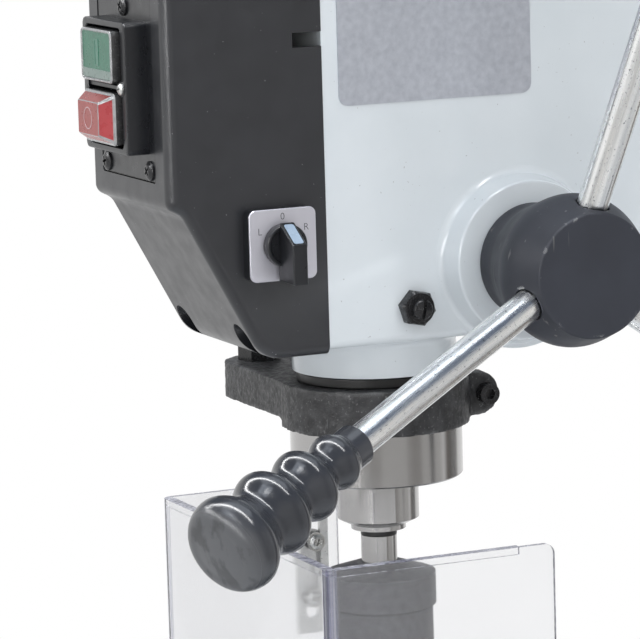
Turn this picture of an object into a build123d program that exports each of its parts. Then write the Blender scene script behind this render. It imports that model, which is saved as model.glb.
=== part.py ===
from build123d import *
from math import cos, pi, radians, sin, sqrt, tan
import os

os.makedirs("parts", exist_ok=True)

# Frame: +Z up, operator stands at -Y, feed levers on +X. All sizes in millimetres.
# The origin is the middle of the base bolt pattern, on the underside of the base.

# Overall sizes
throat = 215.0
column_y = 125.0
spindle_y = column_y - throat
quill_bottom = 640.0
stroke = 85.0

# Fits
seat = 0.05
running = 0.08
clear = 0.4

# Base
base_width = 290.0
base_length = 440.0
base_height = 55.0
base_corner = 30.0
base_wall = 14.0
base_deck = 24.0
base_edge = 4.0
base_bolt_x = 230.0
base_bolt_y = 340.0
base_bolt_hole = 14.0
base_foot_radius = 24.0
base_slot_width = 14.0
base_slot_length = 190.0
base_slot_x = 110.0
base_slot_y = -100.0
pad_radius = 80.0
pad_height = 6.0
pad_top = base_height + pad_height

# Column and its flange
column_diameter = 80.0
column_wall = 6.0
column_r = column_diameter / 2
flange_radius = 75.0
flange_thickness = 18.0
flange_neck_radius = 49.0
flange_height = 60.0
flange_bolt_circle = 130.0
flange_bolt = 10.0
flange_bolt_depth = 30.0
flange_bolt_af = 17.0
flange_bolt_head = 6.4
flange_fillet = 5.0
bolt_tip_gap = 2.0
flange_top = pad_top + flange_height

# Head casting
head_half = 49.0
head_bottom = quill_bottom + 73.0
head_top = quill_bottom + 300.0
head_front_y = spindle_y - 46.0
head_clamp_radius = 60.0
head_wall = 12.0
head_floor = 12.0
head_edge = 4.0
head_roof = 10.0
column_top = head_top - head_roof
nose_radius = 41.0
nose_bottom = quill_bottom + 54.6
barrel_radius = 45.0
head_clamp_screw = 12.0
head_clamp_z = (head_bottom + 40.0, head_top - 50.0)

# Quill
quill_r = 35.0
quill_ring_r = 43.0
quill_ring_height = 26.0
quill_length = 235.0
quill_bore_r = 24.5
lower_bearing_r = 31.0
lower_bearing_height = 16.0
lower_bearing_lift = 4.0
lower_seat_depth = lower_bearing_lift + lower_bearing_height
upper_bearing_r = 26.0
upper_bearing_height = 12.0
guide_groove_width = 8.6
guide_groove_depth = 5.0
guide_groove_end = 2.0
quill_edge = 0.8

# Feed rack, pinion and shaft
rack_module = 2.0
feed_teeth = 26
feed_pitch_r = rack_module * feed_teeth / 2
quill_rack_depth = 4.0
quill_rack_y = spindle_y + quill_r - quill_rack_depth
feed_y = quill_rack_y + feed_pitch_r
feed_z = quill_bottom + 110.0
feed_shaft_r = 12.0
pinion_width = 24.0
tooth_tip_half = 0.5
tooth_root_half = 1.5
tooth_root_depth = 1.25
wheel_gap = 1.0
feed_boss_base_r = 41.5
feed_boss_face_r = 38.4
feed_boss_face_x = head_half + 13.0

# Feed hub, levers and grips
hub_neck_r = 28.3
hub_flare_x = 73.0
hub_rim_x = 104.0
hub_rim_r = 37.4
hub_face_x = 129.0
hub_face_r = 30.0
hub_edge = 1.2
hub_cap = 6.0
lever_count = 3
lever_start = 82.0
lever_lean = 23.0
lever_x = 104.5
lever_r = 7.6
lever_thread_r = 6.0
lever_inner = 20.0
lever_root = 36.0
lever_socket = 2.0
lever_end = 200.0
grip_start = 171.3
grip_collar_r = 10.2
grip_collar_length = 9.0
grip_crests = ((187.2, 13.2), (208.7, 17.2), (233.0, 20.2), (259.5, 22.8))
grip_grooves = ((197.2, 10.7), (220.3, 13.5), (244.7, 16.4), (269.5, 16.5))
grip_end = 272.5

# Return spring and its housing on the left side
spring_housing_r = 34.0
spring_housing_depth = 24.0
spring_housing_edge = 3.0
spring_wall = 3.0
spring_strip = 1.0
spring_turns = 8
spring_inner_r = 16.0
spring_pitch = 1.75
spring_width = 14.0

# Spindle, arbor and chuck
spindle_nose_r = 20.5
spindle_nose_height = 21.9
spindle_nose_taper = 3.4
spindle_step_r = 13.75
spindle_step_height = 5.6
spindle_lower_r = 15.0
spindle_lower_length = 110.0
spindle_upper_r = 12.5
spline_r = 9.0
spline_outer_r = 11.0
spline_width = 4.0
spline_count = 6
spindle_top = quill_bottom + 400.0
taper_depth = 75.0
taper_mouth_r = 9.0
taper_end_r = 7.2
arbor_r = 9.0
arbor_groove = 3.5
arbor_groove_depth = 0.6
arbor_end_gap = 5.0
chuck_top = quill_bottom - 45.0
chuck_tip_r = 7.8
chuck_tip_height = 24.0
chuck_cone_height = 5.0
chuck_ring_r = 27.5
chuck_ring_height = 16.0
chuck_sleeve_r = 25.8
chuck_sleeve_height = 52.0
chuck_core_r = 22.0
chuck_nose_r = 14.5
chuck_nose_height = 17.0
chuck_sleeve_edge = 1.0
chuck_neck_r = 12.0
jaw_count = 3
jaw_r = 4.0
jaw_tilt = 10.0
jaw_tip_offset = 5.5
jaw_length = 56.0
jaw_travel = 12.0
jaw_reach = 5.0

# Depth stop
clamp_r = 47.0
clamp_height = 23.0
depth_x = -82.0
depth_y = spindle_y - 27.0
depth_arm_r = 18.0
depth_arm_height = 19.0
depth_rod_r = 6.0
depth_rod_top = quill_bottom + 290.0
depth_rod_edge = 0.8
depth_nut_af = 19.0
depth_nut_height = 10.0
depth_lug_bottom = quill_bottom + 78.0
depth_lug_height = 12.0
depth_lug_r = 14.0
stop_nut_r = 12.0
stop_nut_height = 20.0
stop_nut_edge = 1.0
stop_nut_gap = 1.0
ear_width = 15.0
ear_reach = 60.5
ear_height = 22.0
ear_gap = 3.0
ear_root = 30.0
ear_screw_y = 53.0
ear_screw_r = 3.0
ear_screw_head_r = 5.2
ear_screw_key = 5.0
ear_screw_key_depth = 3.0

# Control cover
cover_half = 49.5
cover_wall = 3.0
cover_front_y = spindle_y - 127.0
cover_bottom = quill_bottom + 71.0
cover_slant_y = spindle_y - 80.0
cover_ledge_y = spindle_y - 119.0
cover_ledge_z = quill_bottom + 143.5
cover_bend_z = quill_bottom + 147.6
cover_top = quill_bottom + 292.0
cover_round = 5.0
cover_lip_round = 5.5
cover_ledge_round = 9.0
cover_bend_round = 17.0
cover_screw_x = 36.0
cover_screw_z = (quill_bottom + 80.3, quill_bottom + 274.0)
cover_recess_r = 7.8
cover_boss_r = 10.0
cover_screw_r = 2.5
cover_screw_head_r = 4.7
cover_screw_head = 3.5
cover_screw_grip = 10.0
cover_screw_slot = 1.2
cover_screw_slot_depth = 1.5
cover_seat_y = head_front_y - 6.0
cover_notch_z = quill_bottom + 220.0
cover_notch_height = 7.0
cover_notch_depth = 15.0

# Switch
panel_width = 69.0
panel_bottom = quill_bottom + 158.5
panel_top = quill_bottom + 255.0
panel_thickness = 2.0
panel_recess = 2.3
panel_pad = 8.0
panel_face_y = cover_front_y + panel_recess - panel_thickness
panel_corner = 2.0
panel_border = 5.0
panel_screw_x = 27.5
panel_screw_low = quill_bottom + 164.0
panel_screw_high = quill_bottom + 241.0
panel_screw_r = 1.8
panel_screw_head_r = 4.8
panel_screw_head = 2.4
panel_screw_grip = 3.0
cross_length = 5.0
cross_width = 1.1
cross_depth = 1.5
pedestal_width = 55.0
pedestal_bottom = quill_bottom + 171.5
pedestal_top = quill_bottom + 235.0
pedestal_y = spindle_y - 138.0
pedestal_edge = 1.5
pedestal_corner = 3.0
switch_width = 48.6
switch_bottom = quill_bottom + 174.2
switch_top = quill_bottom + 232.5
switch_front_y = pedestal_y - 1.5
switch_back_y = spindle_y - 100.0
button_width = 39.6
button_height = 25.2
button_clear = 0.4
button_corner = 1.5
button_edge = 1.0
well_depth = 10.0
start_z = quill_bottom + 218.2
stop_z = quill_bottom + 188.5
button_back_y = pedestal_y + 2.5
start_front_y = spindle_y - 142.0
stop_base_y = spindle_y - 141.0
stop_front_y = spindle_y - 147.0
stop_tip_width = 21.0
stop_tip_height = 14.5

# Selector
selector_y = spindle_y - 72.5
selector_z = quill_bottom + 127.7
selector_plate = 34.5
selector_plate_x = 58.0
selector_plate_thickness = 1.2
selector_body = 33.5
selector_block = 26.0
selector_corner = 3.0
selector_neck_r = 11.0
selector_back_x = 20.0
knob_r = 10.4
knob_base = 5.0
knob_blade_width = 7.5
knob_blade_x = 78.0
knob_blade_up = 11.0
knob_blade_down = 17.0
knob_pivot_r = 3.0
knob_pivot_length = 11.0
knob_edge = 1.0
knob_corner = 2.0

# Rating plate and guide screw
plate_y = (spindle_y - 37.5, spindle_y + 65.5)
plate_z = (quill_bottom + 190.5, quill_bottom + 258.0)
plate_thickness = 0.8
plate_corner = 5.0
guide_y = spindle_y
guide_z = quill_bottom + 90.0
guide_screw_r = 5.0
guide_tip_r = 4.0
guide_screw_x = head_half + 11.0
guide_nut_af = 16.0
guide_nut_height = 6.0
guide_nut_turn = 18.0
guide_slot_width = 1.8
guide_slot_depth = 2.0

# Guard
guard_half = 104.0
guard_front_y = spindle_y - 75.5
guard_right_y = spindle_y + 45.0
guard_left_y = spindle_y + 23.0
guard_top = quill_bottom - 22.0
guard_height = 120.0
guard_sheet = 3.0
guard_bend = 6.0
guard_lip = 2.5
guard_lip_height = 4.0
guard_lip_end = 18.0
guard_corner = 5.0
bar_thickness = 3.0
bar_gap = 0.2
bar_width = 16.0
bar_y = spindle_y + 10.0
bar_top = quill_bottom + 86.0
bar_bottom = quill_bottom - 104.0
bar_slot_width = 7.2
bar_slot_top = quill_bottom - 36.0
bar_slot_bottom = quill_bottom - 96.0
guard_screw_z = (quill_bottom - 54.7, quill_bottom - 84.7)
guard_screw_r = 2.5
guard_screw_head_r = 4.3
guard_screw_head = 4.0
guard_washer = 1.0
guard_nut_af = 10.0
guard_nut_height = 4.0
guard_thread_end = 1.0
guard_washer_r = 5.0
guard_pin_x = -95.0
guard_pin_r = 4.0
knuckle_r = 9.0
knuckle_height = 16.0
shelf_thickness = 6.0
shelf_bottom = quill_bottom + 88.0
pin_head = 4.0
pin_head_r = 7.0
bracket_width = 24.0
bracket_plate = 6.0
bracket_height = 34.0
bracket_screw_r = 3.0
bracket_screw_head_r = 5.0
bracket_screw_head = 6.0
bracket_screw_grip = 9.0
bracket_screw_x = 6.0
bracket_screw_z = shelf_bottom + 22.0

# Drive
motor_y = column_y + 145.0
housing_floor_z = head_top
housing_r = 105.0
housing_wall = 3.0
housing_floor = 10.0
housing_height = 96.0
lid_height = 26.0
lid_gap = 0.5
lid_edge = 8.0
lid_handle_length = 60.0
lid_handle_reach = 14.0
lid_handle_height = 12.0
hinge_r = 5.0
hinge_pin_r = 2.5
hinge_length = 26.0
hinge_x = -(housing_r + hinge_r + 0.5)
hinge_leaf = 4.0
sleeve_r = 17.5
sleeve_land_height = 14.0
sleeve_bottom = head_top - 44.0
pulley_steps = (70.0, 58.0, 46.0, 34.0)
pulley_step_height = 16.0
pulley_bottom = housing_floor_z + housing_floor + 8.0
belt_step = 1
belt_width = 10.0
belt_depth = 6.0
belt_gap = 0.3
groove_depth = 7.0
groove_floor_half = 5.4
groove_mouth_half = 6.6
motor_r = 68.0
motor_height = 190.0
motor_shaft_r = 9.5
motor_shaft_depth = 110.0
motor_flange_r = 72.0
motor_flange_height = 10.0
motor_bolt_circle = 115.0
motor_bolt_r = 4.0
motor_bolt_af = 13.0
motor_bolt_head = 5.3
fin_count = 28
fin_depth = 5.0
fin_width = 3.0
fin_length = 125.0
fan_cover_height = 46.0
fan_cover_edge = 6.0
terminal_box = 80.0
terminal_depth = 46.0
terminal_drop = 80.0

# Table and its bracket
table_size = 260.0
table_thickness = 20.0
table_top = 310.0
table_pivot_drop = 45.0
table_corner = 14.0
table_edge = 2.0
table_rib_width = 12.0
table_rib_depth = 14.0
table_rib_end = 20.0
table_hub_r = 30.0
table_slot_width = 14.0
table_slot_length = 150.0
table_slot_x = 110.0
table_hole_r = 16.0
pivot_z = table_top - table_pivot_drop
pivot_face_y = column_y - 83.0
pivot_boss_r = 36.0
table_flange = 20.0
tilt_bolt_r = 8.0
tilt_bolt_af = 24.0
tilt_bolt_head = 10.0
tilt_bolt_depth = 36.0
bracket_wall = 16.0
bracket_r = column_r + bracket_wall
bracket_low = pivot_z - 35.0
bracket_high = pivot_z + 75.0
arm_width = 56.0
arm_height = 62.0
pivot_boss_depth = 34.0
rack_width = 14.0
rack_back_gap = 0.5
rack_depth = 10.5
lift_teeth = 14
lift_pitch_r = rack_module * lift_teeth / 2
lift_rack_y = column_y + column_r + rack_back_gap + rack_depth - rack_module
lift_y = lift_rack_y + lift_pitch_r
lift_z = pivot_z + 20.0
lift_shaft_r = 8.0
lift_housing_half = 26.0
lift_housing_r = 22.0
lift_shaft_end = 4.0
rack_top = 400.0
collar_height = 20.0
collar_r = 52.0
collar_wall = 5.0
crank_x = 62.0
crank_length = 95.0
crank_thickness = 12.0
crank_width = 24.0
crank_pin_r = 5.0
handle_r = 11.0
handle_length = 70.0
handle_edge = 4.0
pin_end = 4.0
clamp_z = pivot_z + 55.0
clamp_screw_r = 6.0
clamp_head_r = 11.0
clamp_head_height = 14.0
clamp_head_gap = 6.0
clamp_handle_r = 5.0
clamp_handle_length = 80.0
clamp_ball_r = 11.0

# Directions used for placing round pieces
up = (Align.CENTER, Align.CENTER, Align.MIN)
down = (Align.CENTER, Align.CENTER, Align.MAX)
along_x = (0, 90, 0)
along_front = (90, 0, 0)


def hex_radius(across_flats):
    """Circumscribed radius of a hexagon."""
    return across_flats / sqrt(3)


def lever_plane(index):
    """Plane at the hub whose normal runs out along one lever."""
    turn = radians(lever_start + 360 / lever_count * index)
    lean = radians(lever_lean)
    outward = (sin(lean), cos(lean) * cos(turn), cos(lean) * sin(turn))
    sideways = (cos(lean), -sin(lean) * cos(turn), -sin(lean) * sin(turn))
    return Plane(origin=(lever_x, feed_y, feed_z), x_dir=sideways, z_dir=outward)


def jaw_plane(index):
    """Plane at a jaw tip whose normal runs up along the jaw."""
    turn = radians(90 + 360 / jaw_count * index)
    tilt = radians(jaw_tilt)
    tip_z = chuck_nose_bottom - jaw_reach
    tip = (jaw_tip_offset * cos(turn), spindle_y + jaw_tip_offset * sin(turn), tip_z)
    upward = (sin(tilt) * cos(turn), sin(tilt) * sin(turn), cos(tilt))
    return Plane(origin=tip, x_dir=(-sin(turn), cos(turn), 0), z_dir=upward)


def rack_gap_outline():
    """One gap between rack teeth, drawn about the pitch point and open to the first axis."""
    half_pitch = pi * rack_module / 4
    slope = tan(radians(20))
    root = tooth_root_depth * rack_module
    mouth = 2 * rack_module
    Polygon(
        (-root, -half_pitch + root * slope),
        (mouth, -half_pitch - mouth * slope),
        (mouth, half_pitch + mouth * slope),
        (-root, half_pitch - root * slope),
        align=None,
    )


def pinion_outline(pitch_r, teeth):
    """A toothed wheel with its teeth drawn about the pitch circle."""
    Circle(pitch_r - tooth_root_depth * rack_module)
    with PolarLocations(pitch_r, teeth):
        Polygon(
            (-1.5 * rack_module, -tooth_root_half),
            (rack_module, -tooth_tip_half),
            (rack_module, tooth_tip_half),
            (-1.5 * rack_module, tooth_root_half),
            align=None,
        )


def groove_outline(radius):
    """Half section of one belt groove at the rim of a pulley step."""
    Polygon(
        (radius - groove_depth, -groove_floor_half),
        (radius + 1, -groove_mouth_half),
        (radius + 1, groove_mouth_half),
        (radius - groove_depth, groove_floor_half),
        align=None,
    )


def cross_outline():
    """Cross recess of a small screw."""
    Rectangle(cross_length, cross_width)
    Rectangle(cross_width, cross_length)


def section_plane(y, z):
    """Upright plane facing the front through (0, y, z), for outlines that are turned round an axis."""
    return Plane(origin=(0, y, z), x_dir=(1, 0, 0), z_dir=(0, -1, 0))


def facing_front(y, spots):
    """Locations at depth y that point to the front, one for each (x, z) spot."""
    return [Location((x, y, z), along_front) for x, z in spots]


def facing_right(x, spots):
    """Locations at side position x that point to the right, one for each (y, z) spot."""
    return [Location((x, y, z), along_x) for y, z in spots]


rack_pitch = pi * rack_module
cover_screw_spots = [(x, z) for x in (-cover_screw_x, cover_screw_x) for z in cover_screw_z]
panel_screw_spots = [
    (-panel_screw_x, panel_screw_low),
    (panel_screw_x, panel_screw_low),
    (0.0, panel_screw_high),
]
head_clamp_spots = [(column_y, z) for z in head_clamp_z]
bracket_screw_spots = [(bar_y + y, bracket_screw_z) for y in (-bracket_screw_x, bracket_screw_x)]
guard_screw_spots = [(bar_y, z) for z in guard_screw_z]
plate_bolt_spots = (
    (-head_half + head_wall / 2, spindle_y + 70),
    (head_half - head_wall / 2, spindle_y + 70),
    (-35, column_y + 36),
    (35, column_y + 36),
)
chuck_ring_top = chuck_top - chuck_cone_height
chuck_ring_bottom = chuck_ring_top - chuck_ring_height
chuck_sleeve_bottom = chuck_ring_bottom - chuck_sleeve_height
chuck_nose_bottom = chuck_sleeve_bottom - chuck_nose_height

# Base casting: hollow plinth with a pad for the column, feet and two clamping slots
with BuildPart() as base:
    with BuildSketch():
        RectangleRounded(base_width, base_length, base_corner)
    extrude(amount=base_height)
    chamfer(base.faces().sort_by(Axis.Z)[-1].edges(), base_edge)
    with BuildSketch():
        RectangleRounded(base_width - 2 * base_wall, base_length - 2 * base_wall, base_corner - base_wall)
    extrude(amount=base_height - base_deck, mode=Mode.SUBTRACT)
    with BuildSketch():
        with GridLocations(base_bolt_x, base_bolt_y, 2, 2):
            Circle(base_foot_radius)
    extrude(amount=base_height - base_deck)
    with BuildSketch():
        with Locations((0, column_y)):
            Circle(pad_radius)
    extrude(amount=pad_top)
    with BuildSketch():
        with GridLocations(base_bolt_x, base_bolt_y, 2, 2):
            Circle(base_bolt_hole / 2)
        with Locations((-base_slot_x / 2, base_slot_y), (base_slot_x / 2, base_slot_y)):
            SlotOverall(base_slot_length, base_slot_width, rotation=90)
    extrude(amount=base_height, mode=Mode.SUBTRACT)
    with BuildSketch(Plane.XY.offset(pad_top)):
        with Locations((0, column_y)):
            with PolarLocations(flange_bolt_circle / 2, 4, start_angle=45):
                Circle(flange_bolt / 2 + seat)
    extrude(amount=-flange_bolt_depth, mode=Mode.SUBTRACT)
base.part.label = "base"
export_step(base.part, "parts/base.step")

# Column flange
with BuildPart() as column_flange:
    with Locations((0, column_y, pad_top)):
        Cylinder(flange_radius, flange_thickness, align=up)
        Cylinder(flange_neck_radius, flange_height, align=up)
    shoulder = column_flange.edges().filter_by(GeomType.CIRCLE).group_by(Axis.Z)[1]
    fillet(shoulder.sort_by(SortBy.RADIUS)[0:1], flange_fillet)
    with Locations((0, column_y, pad_top)):
        Cylinder(column_r + seat, flange_height, align=up, mode=Mode.SUBTRACT)
    with BuildSketch(Plane.XY.offset(pad_top)):
        with Locations((0, column_y)):
            with PolarLocations(flange_bolt_circle / 2, 4, start_angle=45):
                Circle(flange_bolt / 2 + clear)
    extrude(amount=flange_height, mode=Mode.SUBTRACT)
column_flange.part.label = "column_flange"
export_step(column_flange.part, "parts/column_flange.step")

# Four hexagon bolts that hold the flange down
with BuildPart() as flange_bolts:
    with BuildSketch(Plane.XY.offset(pad_top + flange_thickness)):
        with Locations((0, column_y)):
            with PolarLocations(flange_bolt_circle / 2, 4, start_angle=45):
                RegularPolygon(hex_radius(flange_bolt_af), 6)
    extrude(amount=flange_bolt_head)
    with BuildSketch(Plane.XY.offset(pad_top + flange_thickness)):
        with Locations((0, column_y)):
            with PolarLocations(flange_bolt_circle / 2, 4, start_angle=45):
                Circle(flange_bolt / 2)
    extrude(amount=-(flange_thickness + flange_bolt_depth - bolt_tip_gap))
flange_bolts.part.label = "flange_bolts"
export_step(flange_bolts.part, "parts/flange_bolts.step")

# Column tube
with BuildPart() as column:
    with Locations((0, column_y, pad_top)):
        Cylinder(column_r, column_top - pad_top, align=up)
        Cylinder(column_r - column_wall, column_top - pad_top, align=up, mode=Mode.SUBTRACT)
column.part.label = "column"
export_step(column.part, "parts/column.step")

# Toothed rack that rides round the column with the table
rack_low = flange_top + clear
gaps_down = int((lift_z - rack_low) / rack_pitch)
gaps_up = int((rack_top - lift_z) / rack_pitch)
with BuildPart() as column_rack:
    with BuildSketch(Plane.XY.offset(rack_low)):
        with Locations((0, column_y + column_r + rack_back_gap)):
            Rectangle(rack_width, rack_depth, align=(Align.CENTER, Align.MIN))
    extrude(amount=rack_top - rack_low)
    with BuildSketch(Plane.YZ):
        with Locations(*[(lift_rack_y, lift_z + n * rack_pitch) for n in range(-gaps_down, gaps_up)]):
            rack_gap_outline()
    extrude(amount=rack_width, both=True, mode=Mode.SUBTRACT)
column_rack.part.label = "column_rack"
export_step(column_rack.part, "parts/column_rack.step")

# Collar that keeps the rack upright against the column
with BuildPart() as rack_collar:
    with Locations((0, column_y, rack_top - collar_height / 2 + clear)):
        Cylinder(collar_r + collar_wall, collar_height, align=up)
        Cylinder(column_r + seat, collar_height, align=up, mode=Mode.SUBTRACT)
        Cylinder(collar_r, collar_height / 2, align=up, mode=Mode.SUBTRACT)
rack_collar.part.label = "rack_collar"
export_step(rack_collar.part, "parts/rack_collar.step")

# Table bracket: clamps round the column, carries the tilt boss and the lift housing
with BuildPart() as table_bracket:
    with Locations((0, column_y, bracket_low)):
        Cylinder(bracket_r, bracket_high - bracket_low, align=up)
    with BuildSketch(Plane.XZ.offset(-pivot_face_y)):
        with Locations((0, pivot_z)):
            Rectangle(arm_width, arm_height)
    extrude(amount=-(column_y - pivot_face_y))
    with Locations(Location((0, pivot_face_y, pivot_z), along_front)):
        Cylinder(pivot_boss_r, pivot_boss_depth, align=down)
    with Locations(Location((-lift_housing_half, lift_y, lift_z), along_x)):
        Cylinder(lift_housing_r, 2 * lift_housing_half, align=up)
    with BuildSketch(Plane.XY.offset(lift_z - lift_housing_r)):
        with Locations((0, column_y)):
            Rectangle(2 * lift_housing_half, lift_y - column_y, align=(Align.CENTER, Align.MIN))
    extrude(amount=2 * lift_housing_r)
    with Locations((0, column_y, bracket_low)):
        Cylinder(column_r + running, bracket_high - bracket_low, align=up, mode=Mode.SUBTRACT)
    with BuildSketch(Plane.XY.offset(bracket_low)):
        with Locations((0, column_y)):
            Rectangle(
                rack_width + 2 * clear,
                column_r + rack_back_gap + rack_depth + clear,
                align=(Align.CENTER, Align.MIN),
            )
    extrude(amount=bracket_high - bracket_low, mode=Mode.SUBTRACT)
    with Locations(Location((0, lift_y, lift_z), along_x)):
        Cylinder(lift_pitch_r + rack_module + wheel_gap, rack_width + 2 * wheel_gap, mode=Mode.SUBTRACT)
    with Locations(Location((-lift_housing_half, lift_y, lift_z), along_x)):
        Cylinder(lift_shaft_r + running, 2 * lift_housing_half, align=up, mode=Mode.SUBTRACT)
    with Locations(Location((0, pivot_face_y, pivot_z), along_front)):
        Cylinder(tilt_bolt_r + running, tilt_bolt_depth + bolt_tip_gap, align=down, mode=Mode.SUBTRACT)
    with Locations(Location((-bracket_r, column_y, clamp_z), along_x)):
        Cylinder(clamp_screw_r + running, bracket_r - column_r, align=up, mode=Mode.SUBTRACT)
table_bracket.part.label = "table_bracket"
export_step(table_bracket.part, "parts/table_bracket.step")

# Lever screw that clamps the bracket to the column, its handle pointing back
clamp_head_x = -bracket_r - clamp_head_gap
clamp_handle_x = clamp_head_x - clamp_head_height / 2
with BuildPart() as bracket_clamp:
    with Locations(Location((-column_r - clear, column_y, clamp_z), along_x)):
        Cylinder(clamp_screw_r, -clamp_handle_x - column_r, align=down)
    with Locations(Location((clamp_head_x, column_y, clamp_z), along_x)):
        Cylinder(clamp_head_r, clamp_head_height, align=down)
    with Locations(Location((clamp_handle_x, column_y, clamp_z), along_front)):
        Cylinder(clamp_handle_r, clamp_handle_length, align=down)
    with Locations((clamp_handle_x, column_y + clamp_handle_length, clamp_z)):
        Sphere(clamp_ball_r)
bracket_clamp.part.label = "bracket_clamp"
export_step(bracket_clamp.part, "parts/bracket_clamp.step")

# Lift shaft with its pinion
with BuildPart() as lift_shaft:
    with Locations(Location((-lift_housing_half - lift_shaft_end, lift_y, lift_z), along_x)):
        Cylinder(lift_shaft_r, lift_housing_half + lift_shaft_end + crank_x + crank_thickness, align=up)
    with BuildSketch(Plane.YZ.offset(-rack_width / 2)):
        with Locations((lift_y, lift_z)):
            pinion_outline(lift_pitch_r, lift_teeth)
    extrude(amount=rack_width)
lift_shaft.part.label = "lift_shaft"
export_step(lift_shaft.part, "parts/lift_shaft.step")

# Crank on the lift shaft
with BuildPart() as lift_crank:
    with BuildSketch(Plane.YZ.offset(crank_x)):
        with Locations((lift_y, lift_z - crank_length / 2)):
            SlotCenterToCenter(crank_length, crank_width, rotation=90)
        with Locations((lift_y, lift_z)):
            Circle(lift_shaft_r + seat, mode=Mode.SUBTRACT)
    extrude(amount=crank_thickness)
    with Locations(Location((crank_x + crank_thickness, lift_y, lift_z - crank_length), along_x)):
        Cylinder(crank_pin_r, handle_length + pin_end, align=up)
lift_crank.part.label = "lift_crank"
export_step(lift_crank.part, "parts/lift_crank.step")

# Handle that spins on the crank pin
with BuildPart() as crank_handle:
    with Locations(Location((crank_x + crank_thickness + clear, lift_y, lift_z - crank_length), along_x)):
        Cylinder(handle_r, handle_length, align=up)
    fillet(crank_handle.edges().filter_by(GeomType.CIRCLE), handle_edge)
    with Locations(Location((crank_x + crank_thickness, lift_y, lift_z - crank_length), along_x)):
        Cylinder(crank_pin_r + running, handle_length + pin_end, align=up, mode=Mode.SUBTRACT)
crank_handle.part.label = "crank_handle"
export_step(crank_handle.part, "parts/crank_handle.step")

# Tilt bolt through the table flange into the bracket
with BuildPart() as tilt_bolt:
    with Locations(Location((0, pivot_face_y + tilt_bolt_depth, pivot_z), along_front)):
        Cylinder(tilt_bolt_r, tilt_bolt_depth + table_flange + clear, align=up)
    with BuildSketch(Plane.XZ.offset(-(pivot_face_y - table_flange - clear))):
        with Locations((0, pivot_z)):
            RegularPolygon(hex_radius(tilt_bolt_af), 6)
    extrude(amount=tilt_bolt_head)
tilt_bolt.part.label = "tilt_bolt"
export_step(tilt_bolt.part, "parts/tilt_bolt.step")

# Table with slots, a centre hole and the flange it tilts on
with BuildPart() as table:
    with BuildSketch(Plane.XY.offset(table_top)):
        with Locations((0, spindle_y)):
            RectangleRounded(table_size, table_size, table_corner)
    extrude(amount=-table_thickness)
    chamfer(table.faces().sort_by(Axis.Z)[-1].edges(), table_edge)
    with BuildSketch(Plane.XZ.offset(-(pivot_face_y - clear / 2))):
        with Locations((0, pivot_z)):
            Circle(pivot_boss_r)
            Rectangle(2 * pivot_boss_r, table_pivot_drop - table_thickness, align=(Align.CENTER, Align.MIN))
    extrude(amount=table_flange)
    with BuildSketch(Plane.XY.offset(table_top - table_thickness)):
        with Locations((0, (pivot_face_y + spindle_y - table_size / 2) / 2)):
            Rectangle(table_rib_width, pivot_face_y - spindle_y + table_size / 2 - 2 * table_rib_end)
        with Locations((0, spindle_y)):
            Circle(table_hub_r)
    extrude(amount=-table_rib_depth)
    with BuildSketch(Plane.XY.offset(table_top)):
        with Locations((0, spindle_y)):
            Circle(table_hole_r)
        with Locations((-table_slot_x / 2, spindle_y), (table_slot_x / 2, spindle_y)):
            SlotOverall(table_slot_length, table_slot_width, rotation=90)
    extrude(amount=-table_thickness - table_rib_depth, mode=Mode.SUBTRACT)
    with Locations(Location((0, pivot_face_y, pivot_z), along_front)):
        Cylinder(tilt_bolt_r + running, table_flange + 1, align=up, mode=Mode.SUBTRACT)
    with BuildSketch(Plane.XZ.offset(-(pivot_face_y - table_flange - clear / 2))):
        with Locations((0, pivot_z)):
            Circle(hex_radius(tilt_bolt_af) + bolt_tip_gap)
    extrude(amount=table_rib_end, mode=Mode.SUBTRACT)
table.part.label = "table"
export_step(table.part, "parts/table.step")

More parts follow.
